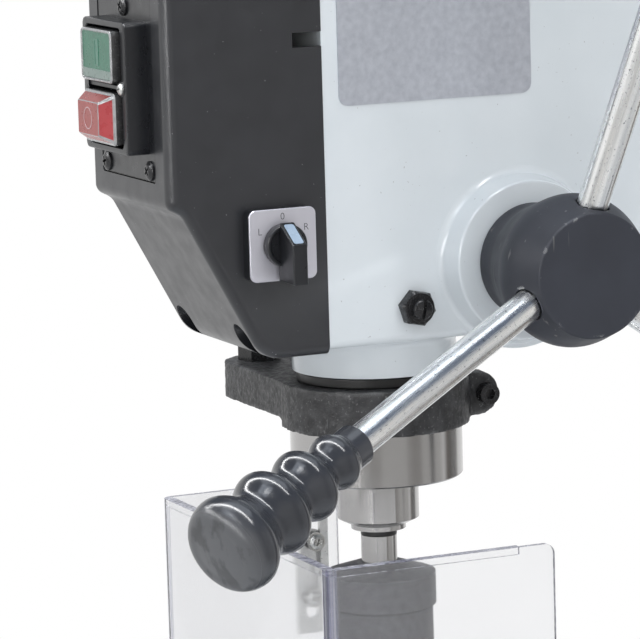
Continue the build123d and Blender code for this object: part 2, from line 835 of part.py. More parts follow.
# Head casting: quill barrel, hollow middle, column clamp, feed boss, depth lug
with BuildPart() as head_casting:
    with BuildSketch(Plane.XY.offset(head_bottom)):
        with Locations((0, head_front_y)):
            Rectangle(2 * head_half, column_y - head_front_y, align=(Align.CENTER, Align.MIN))
        with Locations((0, column_y)):
            Circle(head_clamp_radius)
    extrude(amount=head_top - head_bottom)
    lower_edges = head_casting.faces().sort_by(Axis.Z)[0].edges()
    fillet([edge for edge in lower_edges if edge.center().Y > head_front_y + 1], head_edge)
    with Locations((0, spindle_y, nose_bottom)):
        Cylinder(nose_radius, head_bottom - nose_bottom + head_edge, align=up)
    with Locations(Location((head_half - 1, feed_y, feed_z), along_x)):
        Cone(feed_boss_base_r, feed_boss_face_r, feed_boss_face_x - head_half + 1, align=up)
    with BuildSketch(Plane.XY.offset(depth_lug_bottom)):
        with Locations((depth_x, depth_y)):
            Circle(depth_lug_r)
            Rectangle(-depth_x - head_half + 4, 2 * depth_lug_r, align=(Align.MIN, Align.CENTER))
    extrude(amount=depth_lug_height)
    with Locations((0, spindle_y, head_bottom + head_floor)):
        Box(
            2 * (head_half - head_wall),
            column_y - head_clamp_radius - spindle_y,
            head_top - head_bottom,
            align=(Align.CENTER, Align.MIN, Align.MIN),
            mode=Mode.SUBTRACT,
        )
    with Locations((0, spindle_y, head_bottom)):
        Cylinder(barrel_radius, head_top - head_bottom, align=up)
    with Locations((0, spindle_y, nose_bottom)):
        Cylinder(quill_r + running, head_top - nose_bottom, align=up, mode=Mode.SUBTRACT)
    with Locations((0, column_y, head_bottom)):
        Cylinder(column_r + seat, column_top - head_bottom, align=up, mode=Mode.SUBTRACT)
    with Locations(Location((0, feed_y, feed_z), along_x)):
        Cylinder(feed_pitch_r + rack_module + wheel_gap, pinion_width + 2 * wheel_gap, mode=Mode.SUBTRACT)
        Cylinder(feed_shaft_r + running, 2 * feed_boss_face_x, mode=Mode.SUBTRACT)
    with Locations((depth_x, depth_y, depth_lug_bottom)):
        Cylinder(depth_rod_r + running, depth_lug_height, align=up, mode=Mode.SUBTRACT)
    with Locations(Location((0, guide_y, guide_z), along_x)):
        Cylinder(guide_screw_r + seat, head_half, align=up, mode=Mode.SUBTRACT)
    with Locations(*facing_right(0, head_clamp_spots)):
        Cylinder(head_clamp_screw / 2 + seat, head_clamp_radius, align=down, mode=Mode.SUBTRACT)
    with Locations(*facing_front(head_front_y, cover_screw_spots)):
        Cylinder(cover_screw_r + seat, cover_screw_grip + bolt_tip_gap, align=down, mode=Mode.SUBTRACT)
    with Locations(*facing_right(-head_half, bracket_screw_spots)):
        Cylinder(bracket_screw_r + seat, bracket_screw_grip + bolt_tip_gap, align=up, mode=Mode.SUBTRACT)
    with BuildSketch(Plane.XY.offset(head_top)):
        with Locations(*plate_bolt_spots):
            Circle(motor_bolt_r + seat)
    extrude(amount=-motor_flange_height, mode=Mode.SUBTRACT)
head_casting.part.label = "head_casting"
export_step(head_casting.part, "parts/head_casting.step")

# Two screws that lock the head on the column
with BuildPart() as head_clamp_screws:
    with Locations(*facing_right(-column_r, head_clamp_spots)):
        Cylinder(head_clamp_screw / 2, head_clamp_radius - column_r, align=down)
    with BuildSketch(Plane.YZ.offset(-head_clamp_radius)):
        with Locations(*head_clamp_spots):
            RegularPolygon(hex_radius(head_clamp_screw / 2), 6)
    extrude(amount=head_clamp_screw / 2, mode=Mode.SUBTRACT)
head_clamp_screws.part.label = "head_clamp_screws"
export_step(head_clamp_screws.part, "parts/head_clamp_screws.step")

# Side outline of the control cover: front, small ledge, long slant and bottom, with rounded bends
cover_bends = (
    ((cover_slant_y, cover_bottom), cover_bend_round),
    ((cover_ledge_y, cover_ledge_z), cover_ledge_round),
    ((cover_front_y, cover_bend_z), cover_lip_round),
)
with BuildSketch(Plane.YZ) as cover_side:
    with BuildLine():
        Polyline(
            (head_front_y, cover_bottom),
            (cover_slant_y, cover_bottom),
            (cover_ledge_y, cover_ledge_z),
            (cover_front_y, cover_bend_z),
            (cover_front_y, cover_top),
            (head_front_y, cover_top),
            close=True,
        )
    make_face()
    for corner, radius in cover_bends:
        fillet(cover_side.vertices().sort_by_distance(corner)[0], radius)

# Space inside the control cover, less the posts round its screws
with BuildPart() as cover_space:
    with BuildSketch(Plane.YZ):
        add(cover_side.sketch_local)
        offset(amount=-cover_wall, kind=Kind.INTERSECTION, mode=Mode.REPLACE)
        with Locations((head_front_y, cover_bottom + cover_wall)):
            Rectangle(
                2 * cover_wall,
                cover_top - cover_bottom - 2 * cover_wall,
                align=(Align.MAX, Align.MIN),
            )
    extrude(amount=cover_half - cover_wall, both=True)
    with Locations(*facing_front(head_front_y, cover_screw_spots)):
        Cylinder(cover_boss_r, head_front_y - cover_front_y, align=up, mode=Mode.SUBTRACT)
    with Locations((0, cover_front_y + panel_pad, (panel_bottom + panel_top) / 2)):
        Box(
            panel_width + 2 * panel_border,
            panel_pad,
            panel_top - panel_bottom + 2 * panel_border,
            align=(Align.CENTER, Align.MAX, Align.CENTER),
            mode=Mode.SUBTRACT,
        )

# Control cover: black shell in front of the head
with BuildPart() as control_cover:
    with BuildSketch(Plane.YZ):
        add(cover_side.sketch_local)
    extrude(amount=cover_half, both=True)
    side_edges = control_cover.faces().filter_by(Axis.X).edges()
    fillet([edge for edge in side_edges if edge.center().Y < head_front_y - 1], cover_round)
    add(cover_space.part, mode=Mode.SUBTRACT)
    with Locations(*facing_front(cover_seat_y, cover_screw_spots)):
        Cylinder(cover_recess_r, cover_seat_y - cover_front_y, align=up, mode=Mode.SUBTRACT)
        Cylinder(cover_screw_r + clear, head_front_y - cover_seat_y, align=down, mode=Mode.SUBTRACT)
    with BuildSketch(Plane.XZ.offset(-cover_front_y)):
        with Locations((0, (panel_bottom + panel_top) / 2)):
            RectangleRounded(panel_width + 2 * seat, panel_top - panel_bottom + 2 * seat, panel_corner)
    extrude(amount=-panel_recess, mode=Mode.SUBTRACT)
    with BuildSketch(Plane.XZ.offset(-cover_front_y)):
        with Locations((0, (switch_bottom + switch_top) / 2)):
            Rectangle(switch_width + 2 * clear, switch_top - switch_bottom + 2 * clear)
        with Locations(*panel_screw_spots):
            Circle(panel_screw_r + seat)
    extrude(amount=-panel_pad, mode=Mode.SUBTRACT)
    with Locations(*[(x, head_front_y, cover_notch_z) for x in (-cover_half, cover_half)]):
        Box(
            4 * cover_wall,
            2 * cover_notch_depth,
            cover_notch_height,
            align=(Align.CENTER, Align.CENTER, Align.MIN),
            mode=Mode.SUBTRACT,
        )
    with Locations(Location((0, selector_y, selector_z), along_x)):
        Cylinder(selector_neck_r + seat, cover_half, align=up, mode=Mode.SUBTRACT)
control_cover.part.label = "control_cover"
export_step(control_cover.part, "parts/control_cover.step")

# Four cover screws at the bottom of their recesses
with BuildPart() as cover_screws:
    with Locations(*facing_front(cover_seat_y, cover_screw_spots)):
        Cylinder(cover_screw_head_r, cover_screw_head, align=up)
        Cylinder(cover_screw_r, head_front_y - cover_seat_y + cover_screw_grip, align=down)
    with Locations(*facing_front(cover_seat_y - cover_screw_head, cover_screw_spots)):
        Box(2 * cover_screw_head_r, cover_screw_slot, 2 * cover_screw_slot_depth, mode=Mode.SUBTRACT)
cover_screws.part.label = "cover_screws"
export_step(cover_screws.part, "parts/cover_screws.step")

# Switch panel with the raised pedestal
with BuildPart() as switch_panel:
    with BuildSketch(Plane.XZ.offset(-panel_face_y)):
        with Locations((0, (panel_bottom + panel_top) / 2)):
            RectangleRounded(panel_width, panel_top - panel_bottom, panel_corner)
    extrude(amount=-panel_thickness)
    with BuildSketch(Plane.XZ.offset(-panel_face_y)):
        with Locations((0, (pedestal_bottom + pedestal_top) / 2)):
            RectangleRounded(pedestal_width, pedestal_top - pedestal_bottom, pedestal_corner)
    extrude(amount=panel_face_y - pedestal_y)
    chamfer(switch_panel.faces().sort_by(Axis.Y)[0].edges(), pedestal_edge)
    with BuildSketch(Plane.XZ.offset(-pedestal_y)):
        with Locations((0, (switch_bottom + switch_top) / 2)):
            Rectangle(switch_width + 2 * seat, switch_top - switch_bottom + 2 * seat)
        with Locations(*panel_screw_spots):
            Circle(panel_screw_r + clear)
    extrude(amount=-(switch_back_y - pedestal_y), mode=Mode.SUBTRACT)
switch_panel.part.label = "switch_panel"
export_step(switch_panel.part, "parts/switch_panel.step")

# Panel screws
with BuildPart() as panel_screws:
    with Locations(*facing_front(panel_face_y, panel_screw_spots)):
        Cylinder(panel_screw_head_r, panel_screw_head, align=up)
        Cylinder(panel_screw_r, panel_thickness + panel_screw_grip, align=down)
    with BuildSketch(Plane.XZ.offset(-panel_face_y + panel_screw_head)):
        with Locations(*panel_screw_spots):
            cross_outline()
    extrude(amount=-cross_depth, mode=Mode.SUBTRACT)
panel_screws.part.label = "panel_screws"
export_step(panel_screws.part, "parts/panel_screws.step")

# Switch body with a well for each button
with BuildPart() as switch_body:
    with BuildSketch(Plane.XZ.offset(-switch_front_y)):
        with Locations((0, (switch_bottom + switch_top) / 2)):
            Rectangle(switch_width, switch_top - switch_bottom)
    extrude(amount=-(switch_back_y - switch_front_y))
    with BuildSketch(Plane.XZ.offset(-switch_front_y)):
        with Locations((0, start_z), (0, stop_z)):
            Rectangle(button_width + 2 * button_clear, button_height + 2 * button_clear)
    extrude(amount=-well_depth, mode=Mode.SUBTRACT)
switch_body.part.label = "switch_body"
export_step(switch_body.part, "parts/switch_body.step")

# Start button, flat with a shallow rim
with BuildPart() as start_button:
    with BuildSketch(Plane.XZ.offset(-button_back_y)):
        with Locations((0, start_z)):
            RectangleRounded(button_width, button_height, button_corner)
    extrude(amount=button_back_y - start_front_y)
    fillet(start_button.faces().sort_by(Axis.Y)[0].edges(), button_edge)
start_button.part.label = "start_button"
export_step(start_button.part, "parts/start_button.step")

# Stop button, a blunt pyramid
with BuildPart() as stop_button:
    with BuildSketch(Plane.XZ.offset(-button_back_y)):
        with Locations((0, stop_z)):
            RectangleRounded(button_width, button_height, button_corner)
    extrude(amount=button_back_y - stop_base_y)
    with BuildSketch(Plane.XZ.offset(-stop_base_y)):
        with Locations((0, stop_z)):
            Rectangle(button_width - 2 * button_edge, button_height - 2 * button_edge)
    with BuildSketch(Plane.XZ.offset(-stop_front_y)):
        with Locations((0, stop_z)):
            Rectangle(stop_tip_width, stop_tip_height)
    loft()
stop_button.part.label = "stop_button"
export_step(stop_button.part, "parts/stop_button.step")

# Selector switch: plate outside the cover, neck through it, contact block inside
with BuildPart() as selector_switch:
    with BuildSketch(Plane.YZ.offset(selector_plate_x - selector_plate_thickness)):
        with Locations((selector_y, selector_z)):
            RectangleRounded(selector_plate, selector_plate, selector_corner)
    extrude(amount=selector_plate_thickness)
    with BuildSketch(Plane.YZ.offset(cover_half)):
        with Locations((selector_y, selector_z)):
            RectangleRounded(selector_body, selector_body, selector_corner)
    extrude(amount=selector_plate_x - selector_plate_thickness - cover_half)
    with Locations(Location((selector_back_x, selector_y, selector_z), along_x)):
        Cylinder(selector_neck_r, cover_half - selector_back_x, align=up)
    with BuildSketch(Plane.YZ.offset(selector_back_x)):
        with Locations((selector_y, selector_z)):
            Rectangle(selector_block, selector_block)
    extrude(amount=cover_half - cover_wall - selector_back_x)
    with Locations(Location((selector_plate_x, selector_y, selector_z), along_x)):
        Cylinder(knob_pivot_r + running, knob_pivot_length, align=down, mode=Mode.SUBTRACT)
selector_switch.part.label = "selector_switch"
export_step(selector_switch.part, "parts/selector_switch.step")

# Selector knob with its blade handle
with BuildPart() as selector_knob:
    with Locations(Location((selector_plate_x + clear, selector_y, selector_z), along_x)):
        Cylinder(knob_r, knob_base, align=up)
        Cylinder(knob_pivot_r, knob_pivot_length, align=down)
    with BuildSketch(Plane.YZ.offset(selector_plate_x + clear)):
        with Locations((selector_y, selector_z + (knob_blade_up - knob_blade_down) / 2)):
            RectangleRounded(knob_blade_width, knob_blade_up + knob_blade_down, knob_corner)
    extrude(amount=knob_blade_x - selector_plate_x - clear)
    fillet(selector_knob.faces().sort_by(Axis.X)[-1].edges(), knob_edge)
selector_knob.part.label = "selector_knob"
export_step(selector_knob.part, "parts/selector_knob.step")

# Blank rating plate on the right side of the head
with BuildPart() as rating_plate:
    with BuildSketch(Plane.YZ.offset(head_half)):
        with Locations((sum(plate_y) / 2, sum(plate_z) / 2)):
            RectangleRounded(plate_y[1] - plate_y[0], plate_z[1] - plate_z[0], plate_corner)
    extrude(amount=plate_thickness)
rating_plate.part.label = "rating_plate"
export_step(rating_plate.part, "parts/rating_plate.step")

# Guide screw whose tip runs in the quill groove
with BuildPart() as guide_screw:
    with Locations(Location((quill_r + clear, guide_y, guide_z), along_x)):
        Cylinder(guide_screw_r, guide_screw_x - quill_r - clear, align=up)
    with Locations(Location((quill_r - guide_groove_depth + clear, guide_y, guide_z), along_x)):
        Cylinder(guide_tip_r, guide_groove_depth, align=up)
    with Locations((guide_screw_x, guide_y, guide_z)):
        Box(2 * guide_slot_depth, guide_slot_width, 2 * guide_screw_r, mode=Mode.SUBTRACT)
guide_screw.part.label = "guide_screw"
export_step(guide_screw.part, "parts/guide_screw.step")

# Lock nut on the guide screw
with BuildPart() as guide_nut:
    with BuildSketch(Plane.YZ.offset(head_half)):
        with Locations((guide_y, guide_z)):
            RegularPolygon(hex_radius(guide_nut_af), 6, rotation=guide_nut_turn)
            Circle(guide_screw_r + seat, mode=Mode.SUBTRACT)
    extrude(amount=guide_nut_height)
guide_nut.part.label = "guide_nut"
export_step(guide_nut.part, "parts/guide_nut.step")

# Quill sleeve with end ring, bearing seats, guide groove and rack
gaps_below = 3
gaps_above = int(stroke / rack_pitch) + gaps_below + 2
with BuildPart() as quill:
    with Locations((0, spindle_y, quill_bottom)):
        Cylinder(quill_r, quill_length, align=up)
        Cylinder(quill_ring_r, quill_ring_height, align=up)
    chamfer(quill.edges().filter_by(GeomType.CIRCLE).group_by(Axis.Z)[0], quill_edge)
    with Locations((0, spindle_y, quill_bottom)):
        Cylinder(quill_bore_r, quill_length, align=up, mode=Mode.SUBTRACT)
        Cylinder(lower_bearing_r + seat, lower_seat_depth, align=up, mode=Mode.SUBTRACT)
    with Locations((0, spindle_y, quill_bottom + quill_length)):
        Cylinder(upper_bearing_r + seat, upper_bearing_height, align=down, mode=Mode.SUBTRACT)
    with Locations((quill_r - guide_groove_depth, spindle_y, guide_z - guide_tip_r - guide_groove_end)):
        Box(
            2 * guide_groove_depth,
            guide_groove_width,
            stroke + 2 * guide_tip_r + 2 * guide_groove_end,
            align=(Align.MIN, Align.CENTER, Align.MIN),
            mode=Mode.SUBTRACT,
        )
    with Locations((0, quill_rack_y + rack_module, feed_z - (gaps_below + 1) * rack_pitch)):
        Box(
            4 * quill_r,
            quill_r,
            (gaps_below + gaps_above + 1) * rack_pitch,
            align=(Align.CENTER, Align.MIN, Align.MIN),
            mode=Mode.SUBTRACT,
        )
    with BuildSketch(Plane.YZ):
        with Locations(*[(quill_rack_y, feed_z + n * rack_pitch) for n in range(-gaps_below, gaps_above)]):
            rack_gap_outline()
    extrude(amount=quill_r, both=True, mode=Mode.SUBTRACT)
quill.part.label = "quill"
export_step(quill.part, "parts/quill.step")

# Quill bearings
with BuildPart() as quill_bearings:
    with Locations((0, spindle_y, quill_bottom + lower_bearing_lift)):
        Cylinder(lower_bearing_r, lower_bearing_height, align=up)
        Cylinder(spindle_lower_r + running, lower_bearing_height, align=up, mode=Mode.SUBTRACT)
    with Locations((0, spindle_y, quill_bottom + quill_length)):
        Cylinder(upper_bearing_r, upper_bearing_height, align=down)
        Cylinder(spindle_upper_r + running, upper_bearing_height, align=down, mode=Mode.SUBTRACT)
quill_bearings.part.label = "quill_bearings"
export_step(quill_bearings.part, "parts/quill_bearings.step")

# Spindle: nose, journals, taper socket and splined top
with BuildPart() as spindle:
    with Locations((0, spindle_y, quill_bottom)):
        Cylinder(spindle_nose_r, spindle_nose_height, align=down)
    with Locations((0, spindle_y, quill_bottom - spindle_nose_height)):
        Cone(spindle_step_r, spindle_nose_r, spindle_nose_taper, align=down)
        Cylinder(spindle_step_r, spindle_step_height, align=down)
    with Locations((0, spindle_y, quill_bottom)):
        Cylinder(spindle_lower_r, spindle_lower_length, align=up)
        Cylinder(spindle_upper_r, quill_length, align=up)
    with BuildSketch(Plane.XY.offset(quill_bottom + quill_length)):
        with Locations((0, spindle_y)):
            Circle(spline_r)
            with PolarLocations(0, spline_count):
                Rectangle(spline_outer_r, spline_width, align=(Align.MIN, Align.CENTER))
    extrude(amount=spindle_top - quill_bottom - quill_length)
    with Locations((0, spindle_y, quill_bottom - spindle_nose_height - spindle_step_height)):
        Cone(taper_mouth_r + seat, taper_end_r + seat, taper_depth, align=up, mode=Mode.SUBTRACT)
spindle.part.label = "spindle"
export_step(spindle.part, "parts/spindle.step")

# Chuck arbor: taper above, short neck, taper for the chuck below
arbor_top = quill_bottom - spindle_nose_height - spindle_step_height
with BuildPart() as chuck_arbor:
    with Locations((0, spindle_y, arbor_top)):
        Cone(taper_mouth_r, taper_end_r, taper_depth - arbor_end_gap, align=up)
        Cylinder(arbor_r - arbor_groove_depth, arbor_groove, align=down)
    with Locations((0, spindle_y, arbor_top - arbor_groove)):
        Cylinder(arbor_r, arbor_top - arbor_groove - chuck_top, align=down)
    with Locations((0, spindle_y, chuck_top)):
        Cylinder(chuck_tip_r, chuck_tip_height - bolt_tip_gap, align=down)
chuck_arbor.part.label = "chuck_arbor"
export_step(chuck_arbor.part, "parts/chuck_arbor.step")

# Chuck body: coned top, ring, core and nose, bored for the jaws
with BuildPart() as chuck_body:
    with Locations((0, spindle_y, chuck_ring_top)):
        Cone(chuck_ring_r, chuck_neck_r, chuck_cone_height, align=up)
        Cylinder(chuck_ring_r, chuck_ring_height, align=down)
    with Locations((0, spindle_y, chuck_ring_bottom)):
        Cylinder(chuck_core_r, chuck_sleeve_height, align=down)
    with Locations((0, spindle_y, chuck_nose_bottom)):
        Cone(chuck_nose_r, chuck_core_r, chuck_nose_height, align=up)
    with Locations((0, spindle_y, chuck_top)):
        Cylinder(chuck_tip_r + seat, chuck_tip_height, align=down, mode=Mode.SUBTRACT)
    for index in range(jaw_count):
        with BuildSketch(jaw_plane(index).offset(-jaw_reach)):
            Circle(jaw_r + running)
        extrude(amount=jaw_reach + jaw_length + jaw_travel + clear, mode=Mode.SUBTRACT)
chuck_body.part.label = "chuck_body"
export_step(chuck_body.part, "parts/chuck_body.step")

# Chuck sleeve the hand turns
with BuildPart() as chuck_sleeve:
    with Locations((0, spindle_y, chuck_ring_bottom - clear)):
        Cylinder(chuck_sleeve_r, chuck_sleeve_height - clear, align=down)
    chamfer(chuck_sleeve.edges().filter_by(GeomType.CIRCLE), chuck_sleeve_edge)
    with Locations((0, spindle_y, chuck_ring_bottom)):
        Cylinder(chuck_core_r + running, chuck_sleeve_height, align=down, mode=Mode.SUBTRACT)
chuck_sleeve.part.label = "chuck_sleeve"
export_step(chuck_sleeve.part, "parts/chuck_sleeve.step")

# First chuck jaw, then the other two turned round from it
with BuildPart() as chuck_jaw_1:
    with BuildSketch(jaw_plane(0)):
        Circle(jaw_r)
    extrude(amount=jaw_length)
chuck_jaw_1.part.label = "chuck_jaw_1"
export_step(chuck_jaw_1.part, "parts/chuck_jaw_1.step")

with BuildPart() as chuck_jaw_2:
    with BuildSketch(jaw_plane(1)):
        Circle(jaw_r)
    extrude(amount=jaw_length)
chuck_jaw_2.part.label = "chuck_jaw_2"
export_step(chuck_jaw_2.part, "parts/chuck_jaw_2.step")

with BuildPart() as chuck_jaw_3:
    with BuildSketch(jaw_plane(2)):
        Circle(jaw_r)
    extrude(amount=jaw_length)
chuck_jaw_3.part.label = "chuck_jaw_3"
export_step(chuck_jaw_3.part, "parts/chuck_jaw_3.step")

# Depth clamp: split ring on the quill with an arm for the rod and ears for the screw
clamp_bottom = quill_bottom + quill_ring_height
clamp_top = clamp_bottom + clamp_height
with BuildPart() as depth_clamp:
    with Locations((0, spindle_y, clamp_bottom)):
        Cylinder(clamp_r, clamp_height, align=up)
    with BuildSketch(Plane.XY.offset(clamp_top)):
        with Locations((depth_x, depth_y)):
            Circle(depth_arm_r)
            Rectangle(-depth_x, 2 * depth_arm_r, align=(Align.MIN, Align.CENTER))
    extrude(amount=-depth_arm_height)
    with BuildSketch(Plane.XY.offset(clamp_top)):
        with Locations((0, spindle_y + ear_root)):
            Rectangle(2 * ear_width + ear_gap, ear_reach - ear_root, align=(Align.CENTER, Align.MIN))
    extrude(amount=-ear_height)
    ear_edges = depth_clamp.faces().sort_by(Axis.Y)[-1].edges().filter_by(Axis.X)
    fillet(ear_edges, ear_height / 2 - clear)
    with Locations((0, spindle_y, clamp_bottom)):
        Cylinder(quill_r + seat, clamp_height, align=up, mode=Mode.SUBTRACT)
        Box(
            ear_gap,
            ear_reach,
            clamp_height,
            align=(Align.CENTER, Align.MIN, Align.MIN),
            mode=Mode.SUBTRACT,
        )
    with Locations(Location((0, spindle_y + ear_screw_y, clamp_top - ear_height / 2), along_x)):
        Cylinder(ear_screw_r + clear, 2 * ear_reach, mode=Mode.SUBTRACT)
    with Locations((depth_x, depth_y, clamp_top)):
        Cylinder(depth_rod_r + seat, depth_arm_height, align=down, mode=Mode.SUBTRACT)
depth_clamp.part.label = "depth_clamp"
export_step(depth_clamp.part, "parts/depth_clamp.step")

# Socket screw through the clamp ears
ear_face = ear_gap / 2 + ear_width
with BuildPart() as depth_clamp_screw:
    with Locations(Location((ear_face, spindle_y + ear_screw_y, clamp_top - ear_height / 2), along_x)):
        Cylinder(ear_screw_head_r, 2 * ear_screw_r, align=up)
        Cylinder(ear_screw_r, 2 * ear_width + ear_gap, align=down)
    with BuildSketch(Plane.YZ.offset(ear_face + 2 * ear_screw_r)):
        with Locations((spindle_y + ear_screw_y, clamp_top - ear_height / 2)):
            RegularPolygon(hex_radius(ear_screw_key), 6)
    extrude(amount=-ear_screw_key_depth, mode=Mode.SUBTRACT)
depth_clamp_screw.part.label = "depth_clamp_screw"
export_step(depth_clamp_screw.part, "parts/depth_clamp_screw.step")

# Depth rod standing in the arm
with BuildPart() as depth_rod:
    with Locations((depth_x, depth_y, clamp_top - depth_arm_height)):
        Cylinder(depth_rod_r, depth_rod_top - clamp_top + depth_arm_height, align=up)
    chamfer(depth_rod.edges().filter_by(GeomType.CIRCLE), depth_rod_edge)
depth_rod.part.label = "depth_rod"
export_step(depth_rod.part, "parts/depth_rod.step")

# Hexagon nut that locks the rod in the arm
with BuildPart() as depth_rod_nut:
    with BuildSketch(Plane.XY.offset(clamp_top)):
        with Locations((depth_x, depth_y)):
            RegularPolygon(hex_radius(depth_nut_af), 6, rotation=15)
            Circle(depth_rod_r + seat, mode=Mode.SUBTRACT)
    extrude(amount=depth_nut_height)
depth_rod_nut.part.label = "depth_rod_nut"
export_step(depth_rod_nut.part, "parts/depth_rod_nut.step")

# Stop nut that meets the lug at the end of the full stroke
stop_nut_bottom = depth_lug_bottom + depth_lug_height + stroke + stop_nut_gap
with BuildPart() as depth_stop_nut:
    with Locations((depth_x, depth_y, stop_nut_bottom)):
        Cylinder(stop_nut_r, stop_nut_height, align=up)
    chamfer(depth_stop_nut.edges().filter_by(GeomType.CIRCLE), stop_nut_edge)
    with Locations((depth_x, depth_y, stop_nut_bottom)):
        Cylinder(depth_rod_r + running, stop_nut_height, align=up, mode=Mode.SUBTRACT)
depth_stop_nut.part.label = "depth_stop_nut"
export_step(depth_stop_nut.part, "parts/depth_stop_nut.step")

# Feed shaft across the head with the pinion in the middle
shaft_left = -head_half - spring_housing_depth + spring_wall + bolt_tip_gap
with BuildPart() as feed_shaft:
    with Locations(Location((shaft_left, feed_y, feed_z), along_x)):
        Cylinder(feed_shaft_r, hub_face_x - hub_cap - shaft_left, align=up)
    with BuildSketch(Plane.YZ.offset(-pinion_width / 2)):
        with Locations((feed_y, feed_z)):
            pinion_outline(feed_pitch_r, feed_teeth)
    extrude(amount=pinion_width)
feed_shaft.part.label = "feed_shaft"
export_step(feed_shaft.part, "parts/feed_shaft.step")

# Feed hub: neck and cone, bored for the shaft and the levers
hub_slope = (hub_rim_r - hub_face_r) / (hub_face_x - hub_rim_x)
with BuildPart() as feed_hub:
    with BuildSketch(section_plane(feed_y, feed_z)):
        with BuildLine():
            Polyline(
                (feed_boss_face_x + clear, 0),
                (feed_boss_face_x + clear, hub_neck_r),
                (hub_flare_x, hub_neck_r),
                (hub_rim_x, hub_rim_r),
                (hub_face_x - hub_edge, hub_face_r + hub_edge * hub_slope),
                (hub_face_x, hub_face_r - hub_edge),
                (hub_face_x, 0),
                close=True,
            )
        make_face()
    revolve(axis=Axis((0, feed_y, feed_z), (1, 0, 0)))
    with Locations(Location((feed_boss_face_x, feed_y, feed_z), along_x)):
        Cylinder(feed_shaft_r + seat, hub_face_x - hub_cap - feed_boss_face_x, align=up, mode=Mode.SUBTRACT)
    for index in range(lever_count):
        with BuildSketch(lever_plane(index).offset(lever_inner - clear)):
            Circle(lever_thread_r + seat)
        extrude(amount=hub_rim_r, mode=Mode.SUBTRACT)
        with BuildSketch(lever_plane(index).offset(lever_root - lever_socket)):
            Circle(lever_r + seat)
        extrude(amount=hub_rim_r, mode=Mode.SUBTRACT)
feed_hub.part.label = "feed_hub"
export_step(feed_hub.part, "parts/feed_hub.step")

# Three round feed levers
with BuildPart() as feed_levers:
    for index in range(lever_count):
        plane = lever_plane(index)
        with BuildSketch(plane.offset(lever_root - lever_socket)):
            Circle(lever_r)
        extrude(amount=grip_start - lever_root + lever_socket)
        with BuildSketch(plane.offset(lever_inner)):
            Circle(lever_thread_r)
        extrude(amount=lever_end - lever_inner)
feed_levers.part.label = "feed_levers"
export_step(feed_levers.part, "parts/feed_levers.step")

# Three ribbed grips, each a collar and four swelling beads turned from one outline
grip_bore_r = lever_thread_r + seat
grip_bore_end = lever_end + clear
collar_end = (grip_collar_r, grip_start + grip_collar_length)
with BuildPart() as lever_grips:
    for index in range(lever_count):
        plane = lever_plane(index)
        with BuildSketch(Plane(origin=plane.origin, x_dir=plane.x_dir, z_dir=-plane.y_dir)):
            with BuildLine():
                Polyline(
                    (0, grip_bore_end),
                    (grip_bore_r, grip_bore_end),
                    (grip_bore_r, grip_start),
                    (grip_collar_r, grip_start),
                    collar_end,
                )
                bead_start = collar_end
                for (crest, crest_r), (groove, groove_r) in zip(grip_crests, grip_grooves):
                    ThreePointArc(bead_start, (crest_r, crest), (groove_r, groove))
                    bead_start = (groove_r, groove)
                Polyline(bead_start, (0, grip_end), (0, grip_bore_end))
            make_face()
        revolve(axis=Axis(plane.origin, plane.z_dir))
lever_grips.part.label = "lever_grips"
export_step(lever_grips.part, "parts/lever_grips.step")

# Return spring: a flat strip wound in half turns
with BuildPart() as return_spring:
    with BuildSketch(Plane.YZ.offset(-head_half - spring_wall - spring_width)):
        with BuildLine():
            for turn in range(2 * spring_turns):
                near = spring_inner_r + turn * spring_pitch / 2
                far = near + spring_pitch / 2
                heading = 1 if turn % 2 == 0 else -1
                start = (feed_y + heading * near, feed_z)
                finish = (feed_y - heading * far, feed_z)
                middle = (feed_y + heading * (near - far) / 2, feed_z + heading * (near + far) / 2)
                ThreePointArc(start, middle, finish)
        trace(line_width=spring_strip)
    extrude(amount=spring_width)
return_spring.part.label = "return_spring"
export_step(return_spring.part, "parts/return_spring.step")

# Round housing over the return spring
spring_inside_r = spring_housing_r - spring_wall
spring_inside_depth = spring_housing_depth - spring_wall
with BuildPart() as spring_housing:
    with Locations(Location((-head_half, feed_y, feed_z), along_x)):
        Cylinder(spring_housing_r, spring_housing_depth, align=down)
    fillet(spring_housing.edges().filter_by(GeomType.CIRCLE).group_by(Axis.X)[0], spring_housing_edge)
    with Locations(Location((-head_half, feed_y, feed_z), along_x)):
        Cylinder(spring_inside_r, spring_inside_depth, align=down, mode=Mode.SUBTRACT)
spring_housing.part.label = "spring_housing"
export_step(spring_housing.part, "parts/spring_housing.step")

# Guard bracket on the left side: plate, shelf and pivot pin
with BuildPart() as guard_bracket:
    with Locations((-head_half, bar_y, shelf_bottom)):
        Box(bracket_plate, bracket_width, bracket_height, align=(Align.MAX, Align.CENTER, Align.MIN))
        Box(
            -head_half - guard_pin_x + knuckle_r,
            bracket_width,
            shelf_thickness,
            align=(Align.MAX, Align.CENTER, Align.MIN),
        )
    with Locations((guard_pin_x, bar_y, shelf_bottom)):
        Cylinder(guard_pin_r, knuckle_height + 2 * clear, align=down)
    with Locations((guard_pin_x, bar_y, shelf_bottom - knuckle_height - 2 * clear)):
        Cylinder(pin_head_r, pin_head, align=down)
    with Locations(*facing_right(-head_half, bracket_screw_spots)):
        Cylinder(bracket_screw_r + clear, bracket_plate, align=down, mode=Mode.SUBTRACT)
guard_bracket.part.label = "guard_bracket"
export_step(guard_bracket.part, "parts/guard_bracket.step")

# Two screws that hold the guard bracket
with BuildPart() as bracket_screws:
    with Locations(*facing_right(-head_half - bracket_plate, bracket_screw_spots)):
        Cylinder(bracket_screw_head_r, bracket_screw_head, align=down)
        Cylinder(bracket_screw_r, bracket_plate + bracket_screw_grip, align=up)
bracket_screws.part.label = "bracket_screws"
export_step(bracket_screws.part, "parts/bracket_screws.step")

